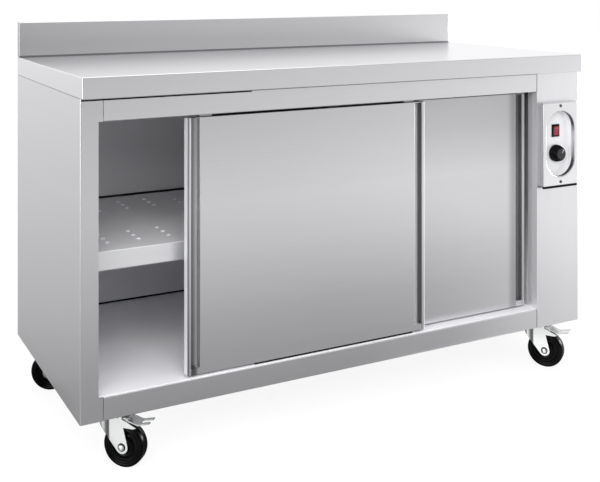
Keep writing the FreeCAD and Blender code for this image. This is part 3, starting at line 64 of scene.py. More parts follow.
# Outer panels: stainless sheet, folded on a press brake and welded at the corners, with the fine brushing
# of the mill left on. The brushing runs along each panel's long side.

class Reading:
    """One socket of a shader tree; sums on it add Math nodes."""

    def __init__(self, tree, socket=None):
        self.tree = tree
        self.socket = socket

    def node(self, kind, settings, sockets, output=0):
        """Add a node, set it up, and read one of its outputs."""
        made = self.tree.nodes.new(kind)
        for name, value in settings.items():
            if name == "stops":
                for spot, (position, tone) in enumerate(value):
                    held = made.color_ramp.elements
                    element = held[spot] if spot < 2 else held.new(position)
                    element.position = position
                    element.color = (tone, tone, tone, 1)
            else:
                setattr(made, name, value)
        for name, value in sockets.items():
            if isinstance(value, Reading):
                self.tree.links.new(value.socket, made.inputs[name])
            else:
                made.inputs[name].default_value = value
        return Reading(self.tree, made.outputs[output])

    def sum(self, operation, first, second=0.0):
        return self.node("ShaderNodeMath", {"operation": operation}, {0: first, 1: second})

    def __add__(self, other):
        return self.sum("ADD", self, other)

    __radd__ = __add__

    def __mul__(self, other):
        return self.sum("MULTIPLY", self, other)

    __rmul__ = __mul__

    def __sub__(self, other):
        return self.sum("SUBTRACT", self, other)

    def __rsub__(self, other):
        return self.sum("SUBTRACT", other, self)

    def __truediv__(self, other):
        return self.sum("DIVIDE", self, other)

    def below(self, limit):
        return self.sum("LESS_THAN", self, limit)

    def above(self, limit):
        return self.sum("GREATER_THAN", self, limit)

    def at_least(self, floor):
        return self.sum("MAXIMUM", self, floor)

    def at_most(self, ceiling):
        return self.sum("MINIMUM", self, ceiling)

    def off(self, centre):
        """How far the reading is from a value, to either side."""
        return self.sum("ABSOLUTE", self - centre)


def finish(name, **plain):
    """A new material with its plain socket values set; returns it, its shader and the object coordinates."""
    material = bpy.data.materials.new(name)
    material.use_nodes = True
    tree = material.node_tree
    shader = tree.nodes["Principled BSDF"]
    for socket, value in plain.items():
        shader.inputs[socket.replace("_", " ")].default_value = value
    return material, shader, Reading(tree).node("ShaderNodeTexCoord", {}, {}, "Object")


def feed(shader, socket, reading):
    """Link a reading to one of the shader's sockets."""
    reading.tree.links.new(reading.socket, shader.inputs[socket])


def noise(place, *scale, detail=2.0):
    """Noise on the object coordinates, about zero, with one scale or a scale for each axis."""
    spread = place.node("ShaderNodeMapping", {}, {"Vector": place, "Scale": scale * 3 if len(scale) == 1 else scale})
    return place.node("ShaderNodeTexNoise", {}, {"Vector": spread, "Scale": 1.0, "Detail": detail}, "Fac") - 0.5


def grey(tone, red=1.0, blue=1.0):
    """A reading as a near-neutral colour, with a little more or less red and blue."""
    return tone.node("ShaderNodeCombineColor", {}, {"Red": tone * red, "Green": tone, "Blue": tone * blue})


def axis_of(place, name):
    """One axis of the object coordinates."""
    return place.node("ShaderNodeSeparateXYZ", {}, {"Vector": place}, name)


def relief(height, strength, depth):
    """A bump from a height reading."""
    return height.node("ShaderNodeBump", {}, {"Height": height, "Strength": strength, "Distance": depth})


def dress(material, *names):
    """Give CAD pieces their finish."""
    for name in names:
        nodes[name].data.materials.clear()
        nodes[name].data.materials.append(material)


HAIRS_ACROSS = 850.0
HAIRS_ALONG = 9.0
BANDS_ACROSS = 26.0
BANDS_ALONG = 0.8


def brushed(name, tone, rough, along, metal=1.0, shade=None, metal_at=None, grain=1.0):
    """Brushed stainless sheet: hairline streaks stretched along one axis, faint broad rolling bands, and any painted
    shade or highlight multiplied in.
    """
    material, shader, place = finish(name, Metallic=metal)
    streaks = noise(place, *[HAIRS_ALONG if axis == along else HAIRS_ACROSS for axis in "xyz"]) * grain
    bands = noise(place, *[BANDS_ALONG if axis == along else BANDS_ACROSS for axis in "xyz"], detail=3.0) * grain
    handling = noise(place, 3.0, detail=4.0) * grain
    surface = tone + streaks * 0.055 + bands * 0.03
    if shade:
        surface = surface * shade(place)
    feed(shader, "Base Color", grey(surface, 1.0, 1.028))
    feed(shader, "Roughness", rough + streaks * 0.08 + bands * 0.03 + handling * 0.05)
    if metal_at:
        feed(shader, "Metallic", metal_at(place))
    feed(shader, "Normal", relief(streaks, 0.05, 0.0004))
    return material


UPSTAND_DEPTH = 0.015
WORKTOP_LEVEL = 0.860
FOLD_REACH = 0.0042
UPSTAND_FOOT = 0.003
END_SKIN = 0.0015
JAMB_SKIN = 0.0008


def painted_fold_shade(place):
    """Painted shade down in the fold between the worktop and its upstand, and on the upstand's end."""
    low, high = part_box("worktop")
    upward = axis_of(place, "Z")
    from_fold = axis_of(place, "Y").off(high.y - UPSTAND_DEPTH).at_least(upward.off(WORKTOP_LEVEL))
    end = axis_of(place, "X").below(low.x + END_SKIN) * upward.above(WORKTOP_LEVEL + UPSTAND_FOOT)
    return 1 - 0.6 * from_fold.below(FOLD_REACH) - 0.45 * end


def jamb_metal(place):
    """How far the column mirrors: less on the jamb beside the doors."""
    return 1 - 0.31 * axis_of(place, "X").below(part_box("column_casing")[0].x + JAMB_SKIN)


dress(brushed("steel_brushed_across", 0.75, 0.33, "x"), "top_rail", "bottom_rail", "back_outer")
dress(brushed("steel_worktop", 0.755, 0.28, "x", shade=painted_fold_shade, grain=0.15), "worktop")
dress(brushed("steel_brushed_front_to_back", 0.72, 0.35, "y"), "left_side_outer")
dress(brushed("steel_brushed_upright", 0.79, 0.33, "z", metal_at=jamb_metal), "column_casing")


# Liners, floor and shelf: the same sheet with a duller rolled finish, which closes the wool-filled walls
# from inside. The shelf is a folded tray on two rails, with rows of punched holes for the warm air.

steel_inner = brushed("steel_inner_liner", 0.84, 0.48, "x", metal=0.1)
dress(steel_inner, "left_side_liner", "back_liner", "ceiling_liner", "shelf_rails", "base_pan")
FLAT_SKIN = 0.0010
LIP_METAL = 0.7


def tray_metal(name, top_metal):
    """How far a tray mirrors: least on its flat top."""
    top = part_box(name)[1].z - FLAT_SKIN
    return lambda place: LIP_METAL - (LIP_METAL - top_metal) * axis_of(place, "Z").above(top)


for name, tone, top_metal in (("shelf", 0.78, 0.15), ("floor_deck", 0.97, 0.03)):
    dress(brushed("steel_" + name, tone, 0.40, "x", metal_at=tray_metal(name, top_metal)), name)
GAP_DEPTH = 0.022
GAP_PAINTED_SHADE = ((0.20, 0.34), (0.28, 0.42), (0.36, 0.62), (0.45, 0.78), (0.60, 0.83), (0.75, 0.91))
WALL_FAR = 0.8


def ramp(reading, far, *stops):
    """A tone that changes with a distance in metres, from a few stops."""
    tones = reading.node("ShaderNodeValToRGB", {"stops": [(distance / far, tone) for distance, tone in stops]},
                         {"Fac": reading * (1 / far)})
    return reading.node("ShaderNodeSeparateColor", {}, {"Color": tones}, "Red")


def painted_gap_shade(place):
    """Painted shade on the partition in the narrow gap beside the closed door, most of all near the top."""
    front = axis_of(place, "Y").below(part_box("partition")[0].y + GAP_DEPTH)
    return 1 - front * ramp(axis_of(place, "Z"), WALL_FAR, *GAP_PAINTED_SHADE)


dress(brushed("steel_partition", 0.84, 0.48, "x", metal=0.1, shade=painted_gap_shade), "partition")


# Frame inside the walls: galvanised beams, backing plates, door hangers and fan casing, mostly out of sight,
# and slabs of mineral wool between the two skins of the side, the back and the doors.

zinc_sheet, zinc_shader, zinc_place = finish("galvanised_sheet", Metallic=0.9, Roughness=0.5)
flakes = zinc_place.node("ShaderNodeTexVoronoi", {}, {"Vector": zinc_place, "Scale": 90.0}, "Color")
flakes = zinc_place.node("ShaderNodeSeparateColor", {}, {"Color": flakes}, "Red")
feed(zinc_shader, "Base Color", grey(0.5 + flakes * 0.12, 0.99, 1.02))
dress(zinc_sheet, "stiffening_channels", "caster_backing_plates", "fan_housing", "left_door_hangers",
      "right_door_hangers")

wool, wool_shader, wool_place = finish("mineral_wool", Roughness=0.95)
fibres = noise(wool_place, 140.0, 140.0, 700.0, detail=4.0)
feed(wool_shader, "Base Color", wool_place.node("ShaderNodeCombineColor", {}, {
    "Red": 0.60 + fibres * 0.3, "Green": 0.51 + fibres * 0.3, "Blue": 0.29 + fibres * 0.2}))
feed(wool_shader, "Normal", relief(fibres, 0.6, 0.003))
dress(wool, "wall_insulation", "left_door_core", "right_door_core")


# Sliding doors: one sheet folded round a wool core, with a pull channel down both edges.
# Each hangs by two bracketed nylon rollers and is steadied by a nylon block on the floor.

PULL_FAR = 0.08
DOOR_SILL = 0.0140
# Tones, painted shade in and beside the pull channels and a painted highlight on the left door's overlapping fold,
# and shares of metal, by the distance from a door's edge: its rim, then the channel's wall, floor and far wall.
LEFT_PULL_PAINTED_SHADE = ((0.0002, 1.0), (0.0005, 0.42), (0.0040, 0.42), (0.0050, 1.0), (0.0092, 1.0), (0.0096, 0.24),
             (0.0150, 0.24), (0.0180, 0.30), (0.0205, 0.38), (0.0235, 0.62), (0.0262, 1.0), (0.0300, 1.0),
             (0.0303, 0.68), (0.0307, 0.60), (0.0310, 1.0))
OVERLAP_PULL_PAINTED_LIGHT = ((0.0026, 1.28), (0.0034, 1.0), (0.0092, 1.0), (0.0094, 0.20), (0.0100, 0.24), (0.0112, 1.0))
JAMB_PULL_PAINTED_SHADE = ((0.0092, 1.0), (0.0094, 0.32), (0.0100, 0.35), (0.0112, 1.0), (0.0300, 1.0), (0.0306, 0.66),
             (0.0435, 0.66), (0.0600, 1.0))
FOLD_METAL = ((0.0004, 0.2), (0.0006, 1.0))
OVERLAP_METAL = ((0.0026, 0.2), (0.0034, 1.0))
CHANNEL_WALL = ((0.0125, 0.0), (0.0140, 1.0), (0.0300, 1.0), (0.0304, 0.0))


def painted_pull_shade(skin, right_painted_tones, top):
    """Painted shade across the pull channels and beside them, a painted highlight on the overlapping fold, and
    painted shade under the rail.
    """
    low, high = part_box(skin)
    # Painted shade by height: darker towards the top under the rail, where the tone falls to top, and lighter at mid
    # height.
    painted_heights = ((0.30, 0.97), (0.45, 1.02), (0.56, 1.04), (0.68, top), (0.757, top - 0.06))

    def shade(place):
        across = axis_of(place, "X")
        painted_pulls = ramp(across - low.x, PULL_FAR, *LEFT_PULL_PAINTED_SHADE) * ramp(high.x - across, PULL_FAR, *right_painted_tones)
        return painted_pulls * ramp(axis_of(place, "Z"), WALL_FAR, *painted_heights)

    return shade


def pull_metal(skin, right_fold, wall_loss):
    """How far the sheet mirrors: less at its outer folds, and on the right channel's wall above the sill."""
    low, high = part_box(skin)

    def metal(place):
        across = axis_of(place, "X")
        folds = ramp(across - low.x, PULL_FAR, *FOLD_METAL) * ramp(high.x - across, PULL_FAR, *right_fold)
        wall = ramp(high.x - across, PULL_FAR, *CHANNEL_WALL) * axis_of(place, "Z").above(low.z + DOOR_SILL)
        return folds * (1 - wall_loss * wall)

    return metal


for skin, tone, right_painted_tones, top, right_fold, wall_loss in (
        ("left_door_skin", 0.75, OVERLAP_PULL_PAINTED_LIGHT, 0.93, OVERLAP_METAL, 0.5),
        ("right_door_skin", 0.73, JAMB_PULL_PAINTED_SHADE, 0.82, FOLD_METAL, 0.0)):
    dress(brushed("steel_" + skin, tone, 0.33, "x", shade=painted_pull_shade(skin, right_painted_tones, top),
                  metal_at=pull_metal(skin, right_fold, wall_loss)), skin)
dress(steel_inner, "left_door_back", "right_door_back")
nylon, nylon_shader, nylon_place = finish("natural_nylon", Roughness=0.5)
feed(nylon_shader, "Base Color", grey(0.76 + noise(nylon_place, 60.0) * 0.08, 1.02, 0.95))
dress(nylon, "door_guide", *[name for name in nodes if name.endswith("_roller")])


# Control unit: a pressed steel bezel with a dished oval well, held to the column by two cross-recessed
# screws, over a black strip that is a painted shadow under its lower edge. The well holds a lit rocker switch and a
# thermostat with a moulded knob.

def piece(name, mesh, body, material):
    """Put a finished mesh into the scene as a piece that rides on a body."""
    bmesh.ops.recalc_face_normals(mesh, faces=mesh.faces)
    data = bpy.data.meshes.new(name)
    mesh.to_mesh(data)
    mesh.free()
    data.materials.append(material)
    made = bpy.data.objects.new(name, data)
    bpy.context.scene.collection.objects.link(made)
    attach(made, body)
    return made


def stood(centre, axis):
    """The matrix that stands a piece's own Z along an axis, at a place."""
    return Matrix.Translation(centre) @ Vector(axis).to_track_quat("Z", "Y").to_matrix().to_4x4()


def points_of(geometry):
    return [part for part in geometry if isinstance(part, bmesh.types.BMVert)]


def carried(mesh, edges):
    """Extrude a line of edges; returns the new points and the new line of edges."""
    grown = bmesh.ops.extrude_edge_only(mesh, edges=edges)["geom"]
    points = points_of(grown)
    edges = [part for part in grown if isinstance(part, bmesh.types.BMEdge)]
    return points, [edge for edge in edges if all(end in points for end in edge.verts)]


def set_out(mesh, places):
    """Copy what the mesh holds to each of several places."""
    whole = mesh.verts[:] + mesh.edges[:] + mesh.faces[:]
    copies = [mesh.verts[:]]
    copies += [points_of(bmesh.ops.duplicate(mesh, geom=whole)["geom"]) for _ in places[1:]]
    for points, place in zip(copies, places):
        bmesh.ops.transform(mesh, matrix=place, verts=points)


def bar(mesh, wide, deep, high, place, soft):
    """A block with softened edges, centred on its place."""
    points = bmesh.ops.create_cube(mesh, size=1.0, matrix=place @ Matrix.Diagonal((wide, deep, high, 1)))["verts"]
    edges = list({edge for point in points for edge in point.link_edges})
    bmesh.ops.bevel(mesh, geom=edges, offset=soft, affect="EDGES", segments=2, profile=0.5, material=-1)


def filled(mesh, low, high, soft):
    """A block with softened edges between two corners."""
    low, high = Vector(low), Vector(high)
    bar(mesh, *(high - low), Matrix.Translation((low + high) / 2), soft)


def spun(mesh, outline, steps):
    """Spin a half outline of radius and height round Z."""
    points = [mesh.verts.new((radius, 0, height)) for radius, height in outline]
    edges = [mesh.edges.new(pair) for pair in zip(points, points[1:])]
    bmesh.ops.spin(mesh, geom=points + edges, cent=(0, 0, 0), axis=(0, 0, 1), angle=2 * math.pi, steps=steps,
                   use_merge=True)
    bmesh.ops.remove_doubles(mesh, verts=mesh.verts, dist=1e-6)


def cross_screw(mesh, radius, height):
    """A pan-headed screw with a cross recess, its head standing along Z."""
    arm = 0.56 * radius
    slit = 0.14 * radius
    flat = 0.72 * radius
    top = bmesh.ops.create_circle(mesh, segments=32, radius=flat)["verts"]
    ring = mesh.edges[:]
    corner = [Vector(spot) for spot in ((-slit, arm, 0), (slit, arm, 0), (slit, slit, 0))]
    cross = []
    for turn in range(4):
        quarter = Matrix.Rotation(-turn * math.pi / 2, 3, "Z")
        cross += [mesh.verts.new(quarter @ spot) for spot in corner]
    slot_edge = [mesh.edges.new(pair) for pair in zip(cross, cross[1:] + cross[:1])]
    bmesh.ops.translate(mesh, verts=top + cross, vec=(0, 0, height))
    bmesh.ops.triangle_fill(mesh, use_beauty=True, edges=ring + slot_edge)
    low, low_edge = carried(mesh, slot_edge)
    bmesh.ops.translate(mesh, verts=low, vec=(0, 0, -0.7 * height))
    bmesh.ops.contextual_create(mesh, geom=low_edge)
    for reach, level in ((0.9, 0.8), (1.0, 0.4), (1.0, 0.0)):
        points, ring = carried(mesh, ring)
        for point in points:
            point.co = (*(point.co.xy.normalized() * reach * radius), level * height)


bezel_low, bezel_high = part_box("control_bezel")
bezel_middle = (bezel_low + bezel_high) / 2
WELL_RIM = 0.0012
WELL_FLOOR = 0.023
WELL_HALF = 0.088
WELL_REACH = 0.052
CRESCENT = 0.011
CRESCENT_FAR = 0.1
CRESCENT_PAINTED_SHADE = ((0.0, 0.25), (0.025, 0.30), (0.050, 0.88), (WELL_HALF, 0.95), (WELL_HALF + 0.0005, 0.0))


def in_well(place, top, foot):
    """Whether a point lies on the well's wall, between two depths."""
    depth = axis_of(place, "Y") - bezel_low.y
    return axis_of(place, "X").off(bezel_middle.x).below(WELL_REACH) * depth.above(top) * depth.below(foot)


def painted_well_shade(place):
    """Painted shade on the outer half of the well's wall: dark painted crescents round its two ends."""
    ends = axis_of(place, "Z").off(bezel_middle.z)
    return 1 - in_well(place, WELL_RIM, CRESCENT) * ramp(ends, CRESCENT_FAR, *CRESCENT_PAINTED_SHADE)


def well_metal(place):
    """How far the bezel mirrors: least on the inner half of the well's wall and on its floor."""
    return 1 - 0.85 * in_well(place, CRESCENT, WELL_FLOOR)


dress(brushed("steel_bezel", 0.82, 0.17, "z", shade=painted_well_shade, metal_at=well_metal), "control_bezel")

black, black_shader, black_place = finish("satin_black_plastic", Base_Color=(0.003, 0.003, 0.0035, 1),
                                          Specular_IOR_Level=0.15)
grain = noise(black_place, 2200.0)
feed(black_shader, "Roughness", 0.24 + grain * 0.12)
feed(black_shader, "Normal", relief(grain, 0.15, 0.0002))
dress(black, "switch_housing", "thermostat_knob", "thermostat_body", "cable_gland")

lens, lens_shader, lens_place = finish("red_switch_lens", Roughness=0.2, Coat_Weight=0.5)
glow = noise(lens_place, 90.0, 90.0, 60.0)
feed(lens_shader, "Base Color", lens_place.node("ShaderNodeCombineColor", {}, {
    "Red": 0.24 + glow * 0.5, "Green": 0.010 + glow * 0.08, "Blue": 0.020 + glow * 0.08}))
dress(lens, "switch_rocker")

screw_steel, screw_shader, screw_place = finish("screw_steel", Metallic=1.0)
feed(screw_shader, "Base Color", grey(0.12 + noise(screw_place, 400.0) * 0.08))
feed(screw_shader, "Roughness", 0.3 + noise(screw_place, 900.0) * 0.2)
low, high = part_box("bezel_screws")
head = (high.x - low.x) / 2
mesh = bmesh.new()
cross_screw(mesh, head, bezel_low.y - low.y)
set_out(mesh, [stood(((low.x + high.x) / 2, bezel_low.y, z), (0, -1, 0)) for z in (low.z + head, high.z - head)])
bezel_screws = piece("bezel_cross_screws", mesh, "cabinet", screw_steel)
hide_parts("bezel_screws")

# Painted shadow: a black strip under the bezel's lower edge.
BEZEL_SHADOW_HEIGHT = 0.006
BEZEL_SHADOW_DEPTH = 0.007
BEZEL_SHADOW_BACK = 0.0005
BEZEL_SHADOW_SHORT = 0.002
mesh = bmesh.new()
filled(mesh, (bezel_low.x + BEZEL_SHADOW_SHORT, bezel_low.y + BEZEL_SHADOW_BACK, bezel_low.z - BEZEL_SHADOW_HEIGHT),
       (bezel_high.x - BEZEL_SHADOW_SHORT, bezel_low.y + BEZEL_SHADOW_BACK + BEZEL_SHADOW_DEPTH, bezel_low.z), 0.0008)
piece("bezel_shadow_strip", mesh, "cabinet", black)

low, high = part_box("thermostat_knob")
hub = Vector(((low.x + high.x) / 2, low.y, (low.z + high.z) / 2))
KNOB_FACE = 0.017
KNOB_DEPTH = 0.022
KNOB_COLLAR = 0.005
GRIPS = 30
GRIP_HEIGHT = 0.0007
GRIP_WIDTH = 0.0014
flank = Vector(((high.x - low.x) / 2 - KNOB_FACE, 0, KNOB_COLLAR - KNOB_DEPTH))
mesh = bmesh.new()
bar(mesh, GRIP_HEIGHT, GRIP_WIDTH, flank.length * 0.8, stood(Vector((KNOB_FACE, 0, 0)) + flank / 2, flank), 0.0002)
set_out(mesh, [stood(hub, (0, -1, 0)) @ Matrix.Rotation(math.tau * turn / GRIPS, 4, "Z") for turn in range(GRIPS)])
piece("knob_grips", mesh, "thermostat_knob", black)

dial, dial_shader, dial_place = finish("knob_face_disc", Base_Color=(0.022, 0.022, 0.024, 1),
                                       Specular_IOR_Level=0.3)
feed(dial_shader, "Roughness", 0.3 + noise(dial_place, 1500.0) * 0.15)
mesh = bmesh.new()
spun(mesh, [(0, 0.0006), (0.0135, 0.0006), (0.0142, 0.0003), (0.0145, -0.0004), (0, -0.0004)], 48)
bmesh.ops.transform(mesh, matrix=stood(hub, (0, -1, 0)), verts=mesh.verts)
piece("knob_face", mesh, "thermostat_knob", dial)

pale, pale_shader, pale_place = finish("pointer_white", Roughness=0.45)
feed(pale_shader, "Base Color", grey(0.45 + noise(pale_place, 500.0) * 0.1))
POINTER_LEAN = math.radians(54)
POINTER_LENGTH = 0.010
POINTER_WIDTH = 0.0014
POINTER_DEPTH = 0.0012
POINTER_PROUD = 0.0008
POINTER_OUT = 0.0088
mesh = bmesh.new()
bar(mesh, POINTER_LENGTH, POINTER_DEPTH, POINTER_WIDTH, Matrix.Translation(hub - Vector((0, POINTER_PROUD, 0)))
    @ Matrix.Rotation(-POINTER_LEAN, 4, "Y") @ Matrix.Translation((POINTER_OUT, 0, 0)), 0.0003)
piece("knob_pointer", mesh, "thermostat_knob", pale)


# Joint lines and painted shadow: black strips stand in for the shade under the worktop's edge, where the floor meets
# the back, behind the shelf, behind the doors below the rail and under the left door; thin seams beside the rails'
# ends are dark joints.
# Each air hole of the shelf has a collar, pressed up.

shadow_and_seam_black, shadow_and_seam_shader, shadow_and_seam_place = finish("matt_black_shadow_and_seams", Base_Color=(0.006, 0.006, 0.007, 1),
                                       Specular_IOR_Level=0.2)
feed(shadow_and_seam_shader, "Roughness", 0.7 + noise(shadow_and_seam_place, 600.0) * 0.3)
EDGE_SHADOW_HEIGHT = 0.005
EDGE_SHADOW_DEPTH = 0.004
EDGE_SHADOW_PROUD = 0.0015
EDGE_SHADOW_INSET = 0.003
EDGE_SHADOW_SPLIT = -0.30
BACK_SHADOW_BEAD = 0.004
SHELF_SHADOW_ABOVE = 0.003
SHELF_SHADOW_BELOW = 0.004
SHELF_SHADOW_SHORT = 0.002
STRIP_THICK = 0.003
STRIP_END = 0.7510
STRIP_START = -0.41
SEAM_WIDTH = 0.0016
SEAM_DEPTH = 0.002
SEAM_PROUD = 0.0003
SEAM_SHORT = 0.0015
SHADOW_STRIP_SOFT = 0.0006
SHADOW_BEAD_SOFT = 0.001
casing_low, casing_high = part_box("column_casing")
tray_low, tray_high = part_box("shelf")
body_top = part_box("top_rail")[1].z
deck_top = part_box("floor_deck")[1].z
back_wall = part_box("back_liner")[0].y
edge_shadow_front = casing_low.y - EDGE_SHADOW_PROUD
mesh = bmesh.new()
# Painted shadow: a black strip under the worktop's edge, thinner to the right of the split.
for start, stop, thick in ((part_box("left_side_outer")[0].x + EDGE_SHADOW_INSET, EDGE_SHADOW_SPLIT, EDGE_SHADOW_HEIGHT),
                           (EDGE_SHADOW_SPLIT, casing_low.x - EDGE_SHADOW_INSET, EDGE_SHADOW_HEIGHT / 2)):
    filled(mesh, (start, edge_shadow_front, body_top - thick), (stop, edge_shadow_front + EDGE_SHADOW_DEPTH, body_top), SHADOW_STRIP_SOFT)
# Painted shadow: black strips where the floor meets the back, behind the shelf and behind the doors below the rail.
filled(mesh, (tray_low.x, back_wall - BACK_SHADOW_BEAD, deck_top), (tray_high.x, back_wall, deck_top + BACK_SHADOW_BEAD), SHADOW_BEAD_SOFT)
filled(mesh, (tray_low.x + SHELF_SHADOW_SHORT, tray_high.y, tray_high.z - SHELF_SHADOW_BELOW),
       (tray_high.x - SHELF_SHADOW_SHORT, back_wall, tray_high.z + SHELF_SHADOW_ABOVE), SHADOW_BEAD_SOFT)
filled(mesh, (STRIP_START, tray_low.y - STRIP_THICK, STRIP_END),
       (tray_high.x, tray_low.y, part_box("ceiling_liner")[0].z), SHADOW_STRIP_SOFT)
for low, high in (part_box("bottom_rail"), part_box("top_rail")):
    filled(mesh, (casing_low.x + SEAM_PROUD - SEAM_WIDTH, casing_low.y - SEAM_PROUD, low.z + SEAM_SHORT),
           (casing_low.x + SEAM_PROUD, casing_low.y - SEAM_PROUD + SEAM_DEPTH, high.z - SEAM_SHORT), 0.0003)
piece("shadow_strips_and_seams", mesh, "cabinet", shadow_and_seam_black)

# Painted shadow: a black strip under the left door, riding with it, where the gap under the door lies in shade.
DOOR_FOOT_SHADOW_START = -0.288
DOOR_FOOT_SHADOW_STOP = 0.150
DOOR_FOOT_SHADOW_HEIGHT = 0.0044
DOOR_FOOT_SHADOW_DEPTH = 0.005
DOOR_FOOT_SHADOW_BACK = 0.001
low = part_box("left_door_skin")[0]
mesh = bmesh.new()
filled(mesh, (DOOR_FOOT_SHADOW_START, low.y + DOOR_FOOT_SHADOW_BACK, low.z - DOOR_FOOT_SHADOW_HEIGHT),
       (DOOR_FOOT_SHADOW_STOP, low.y + DOOR_FOOT_SHADOW_BACK + DOOR_FOOT_SHADOW_DEPTH, low.z), SHADOW_STRIP_SOFT)
piece("left_door_foot_shadow_strip", mesh, "left_door", shadow_and_seam_black)

HOLE = 0.004
HOLE_STEP = 0.037
BAND_SPACING = 0.294
CLUSTER_PITCH = 0.073
CLUSTERS = 16
tray_middle = (tray_low + tray_high) / 2
mesh = bmesh.new()
spun(mesh, [(HOLE, -0.0004), (HOLE, 0.0006), (HOLE + 0.0006, 0.0009), (HOLE + 0.0019, 0.0002),
            (HOLE + 0.0023, -0.0004), (HOLE, -0.0004)], 16)
set_out(mesh, [Matrix.Translation((tray_middle.x + (column - (CLUSTERS - 1) / 2) * CLUSTER_PITCH,
                                   tray_middle.y + band * BAND_SPACING / 2 + row * HOLE_STEP, tray_high.z))
               for column in range(CLUSTERS) for band in (-1, 1) for row in (-1, 0, 1)])
piece("hole_collars", mesh, "cabinet", brushed("steel_collars", 0.96, 0.30, "x", metal=0.05))


# Heater: a cased fan blows through a ring element behind the partition. Its motor and impeller are enamelled,
# as are the door tracks. The element is a steel tube browned by heat, with a moulded terminal strip.

enamel, enamel_shader, enamel_place = finish("grey_enamel", Base_Color=(0.10, 0.105, 0.11, 1))
peel = noise(enamel_place, 300.0)
feed(enamel_shader, "Roughness", 0.45 + peel * 0.15)
feed(enamel_shader, "Normal", relief(peel, 0.2, 0.0005))
dress(enamel, "fan_motor", "fan_impeller", "door_tracks")
sheath, sheath_shader, sheath_place = finish("element_sheath", Metallic=1.0)
scorch = noise(sheath_place, 40.0, detail=4.0)
feed(sheath_shader, "Base Color", grey(0.13 + scorch * 0.12, 1.15, 0.82))
feed(sheath_shader, "Roughness", 0.5 + scorch * 0.3)
dress(sheath, "heating_element")
strip, strip_shader, strip_place = finish("terminal_strip", Roughness=0.55)
feed(strip_shader, "Base Color", grey(0.62 + noise(strip_place, 120.0) * 0.08, 1.08, 0.9))
dress(strip, "terminal_block")


# Service cover: a plain sheet let into the back of the column, with pressed louvres above the fan
# and six screws into the ledge behind it. The mains gland is fixed near its foot.

LOUVRES = 10
LOUVRE_LENGTH = 0.090
LOUVRE_HEIGHT = 0.005
LOUVRE_PITCH = 0.016
LOUVRE_DROP = 0.120
LOUVRE_SHEET = 0.0008
steel_back = brushed("steel_service_cover", 0.62, 0.42, "z", metal=0.9)
dress(steel_back, "service_cover")
low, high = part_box("service_cover")
reach = LOUVRE_HEIGHT + LOUVRE_SHEET
mesh = bmesh.new()
arc = [mesh.verts.new((-LOUVRE_LENGTH / 2, reach * math.sin(lean), LOUVRE_SHEET - reach * (1 - math.cos(lean))))
       for lean in (math.radians(step * 15) for step in range(7))]
far = carried(mesh, [mesh.edges.new(pair) for pair in zip(arc, arc[1:])])[0]
bmesh.ops.translate(mesh, verts=far, vec=(LOUVRE_LENGTH, 0, 0))
for end, x in ((arc, -LOUVRE_LENGTH / 2), (far, LOUVRE_LENGTH / 2)):
    mesh.faces.new([*sorted(end, key=lambda point: point.co.y), mesh.verts.new((x, 0, LOUVRE_SHEET - reach))])
bmesh.ops.recalc_face_normals(mesh, faces=mesh.faces)
bmesh.ops.solidify(mesh, geom=mesh.verts[:] + mesh.edges[:] + mesh.faces[:], thickness=LOUVRE_SHEET)
set_out(mesh, [Matrix.Translation(((casing_low.x + casing_high.x) / 2, high.y,
                                   body_top - LOUVRE_DROP - row * LOUVRE_PITCH)) for row in range(LOUVRES)])
piece("louvre_hoods", mesh, "cabinet", steel_back)

COVER_SCREW = 0.0045
COVER_SCREW_HEIGHT = 0.002
SCREW_INSET = 0.009
mesh = bmesh.new()
cross_screw(mesh, COVER_SCREW, COVER_SCREW_HEIGHT)
set_out(mesh, [stood((x, high.y, z), (0, 1, 0)) for x in (low.x + SCREW_INSET, high.x - SCREW_INSET)
               for z in (low.z + SCREW_INSET, (low.z + high.z) / 2, high.z - SCREW_INSET)])
piece("cover_screws", mesh, "cabinet", screw_steel)


# Casters: pressed forks in bright zinc plate, swivelling on a ball race under a bolted plate.
# The wheels are one-piece black rubber, moulded in two halves; the front pair has a pedal brake.

corners = ("front_left", "front_right", "rear_left", "rear_right")
joints = {joint["name"]: joint for joint in frame["joints"]}


def zinc_plate(name, tone, painted_reflection=None):
    """Bright zinc plate, a little clouded, darkened by a painted reflection where one is given."""
    material, shader, place = finish(name, Metallic=0.88)
    cloud = noise(place, 70.0, detail=3.0)
    surface = tone + cloud * 0.08
    if painted_reflection:
        surface = surface * (1 - painted_reflection(place))
    feed(shader, "Base Color", grey(surface, 0.985, 1.0))
    feed(shader, "Roughness", 0.13 + cloud * 0.10)
    return material


PAINTED_BEND_BAND = ((0.024, 0.0), (0.032, 0.80), (0.0385, 0.90), (0.0405, 0.35), (0.042, 0.0))
BEND_BEFORE = 0.04
BEND_FAR = 0.08


def painted_bend_reflection(corner):
    """A painted dark reflection in the bend of a fork: a band across it, measured along its trail from behind the
    king pin.
    """
    swivel = Vector(joints[corner + "_swivel"]["pos_m"])
    trail = (Vector(joints[corner + "_roll"]["pos_m"]) - swivel).xy.normalized()

    def painted_reflection(place):
        along = (axis_of(place, "X") - swivel.x) * trail.x + (axis_of(place, "Y") - swivel.y) * trail.y
        return ramp(along + BEND_BEFORE, BEND_FAR, *PAINTED_BEND_BAND)

    return painted_reflection


plate = zinc_plate("bright_zinc_plate", 0.93)
dress(plate, "caster_plates", "caster_bolts")
for corner in corners:
    dress(zinc_plate(corner + "_fork_plate", 0.92, painted_bend_reflection(corner)), corner + "_fork")
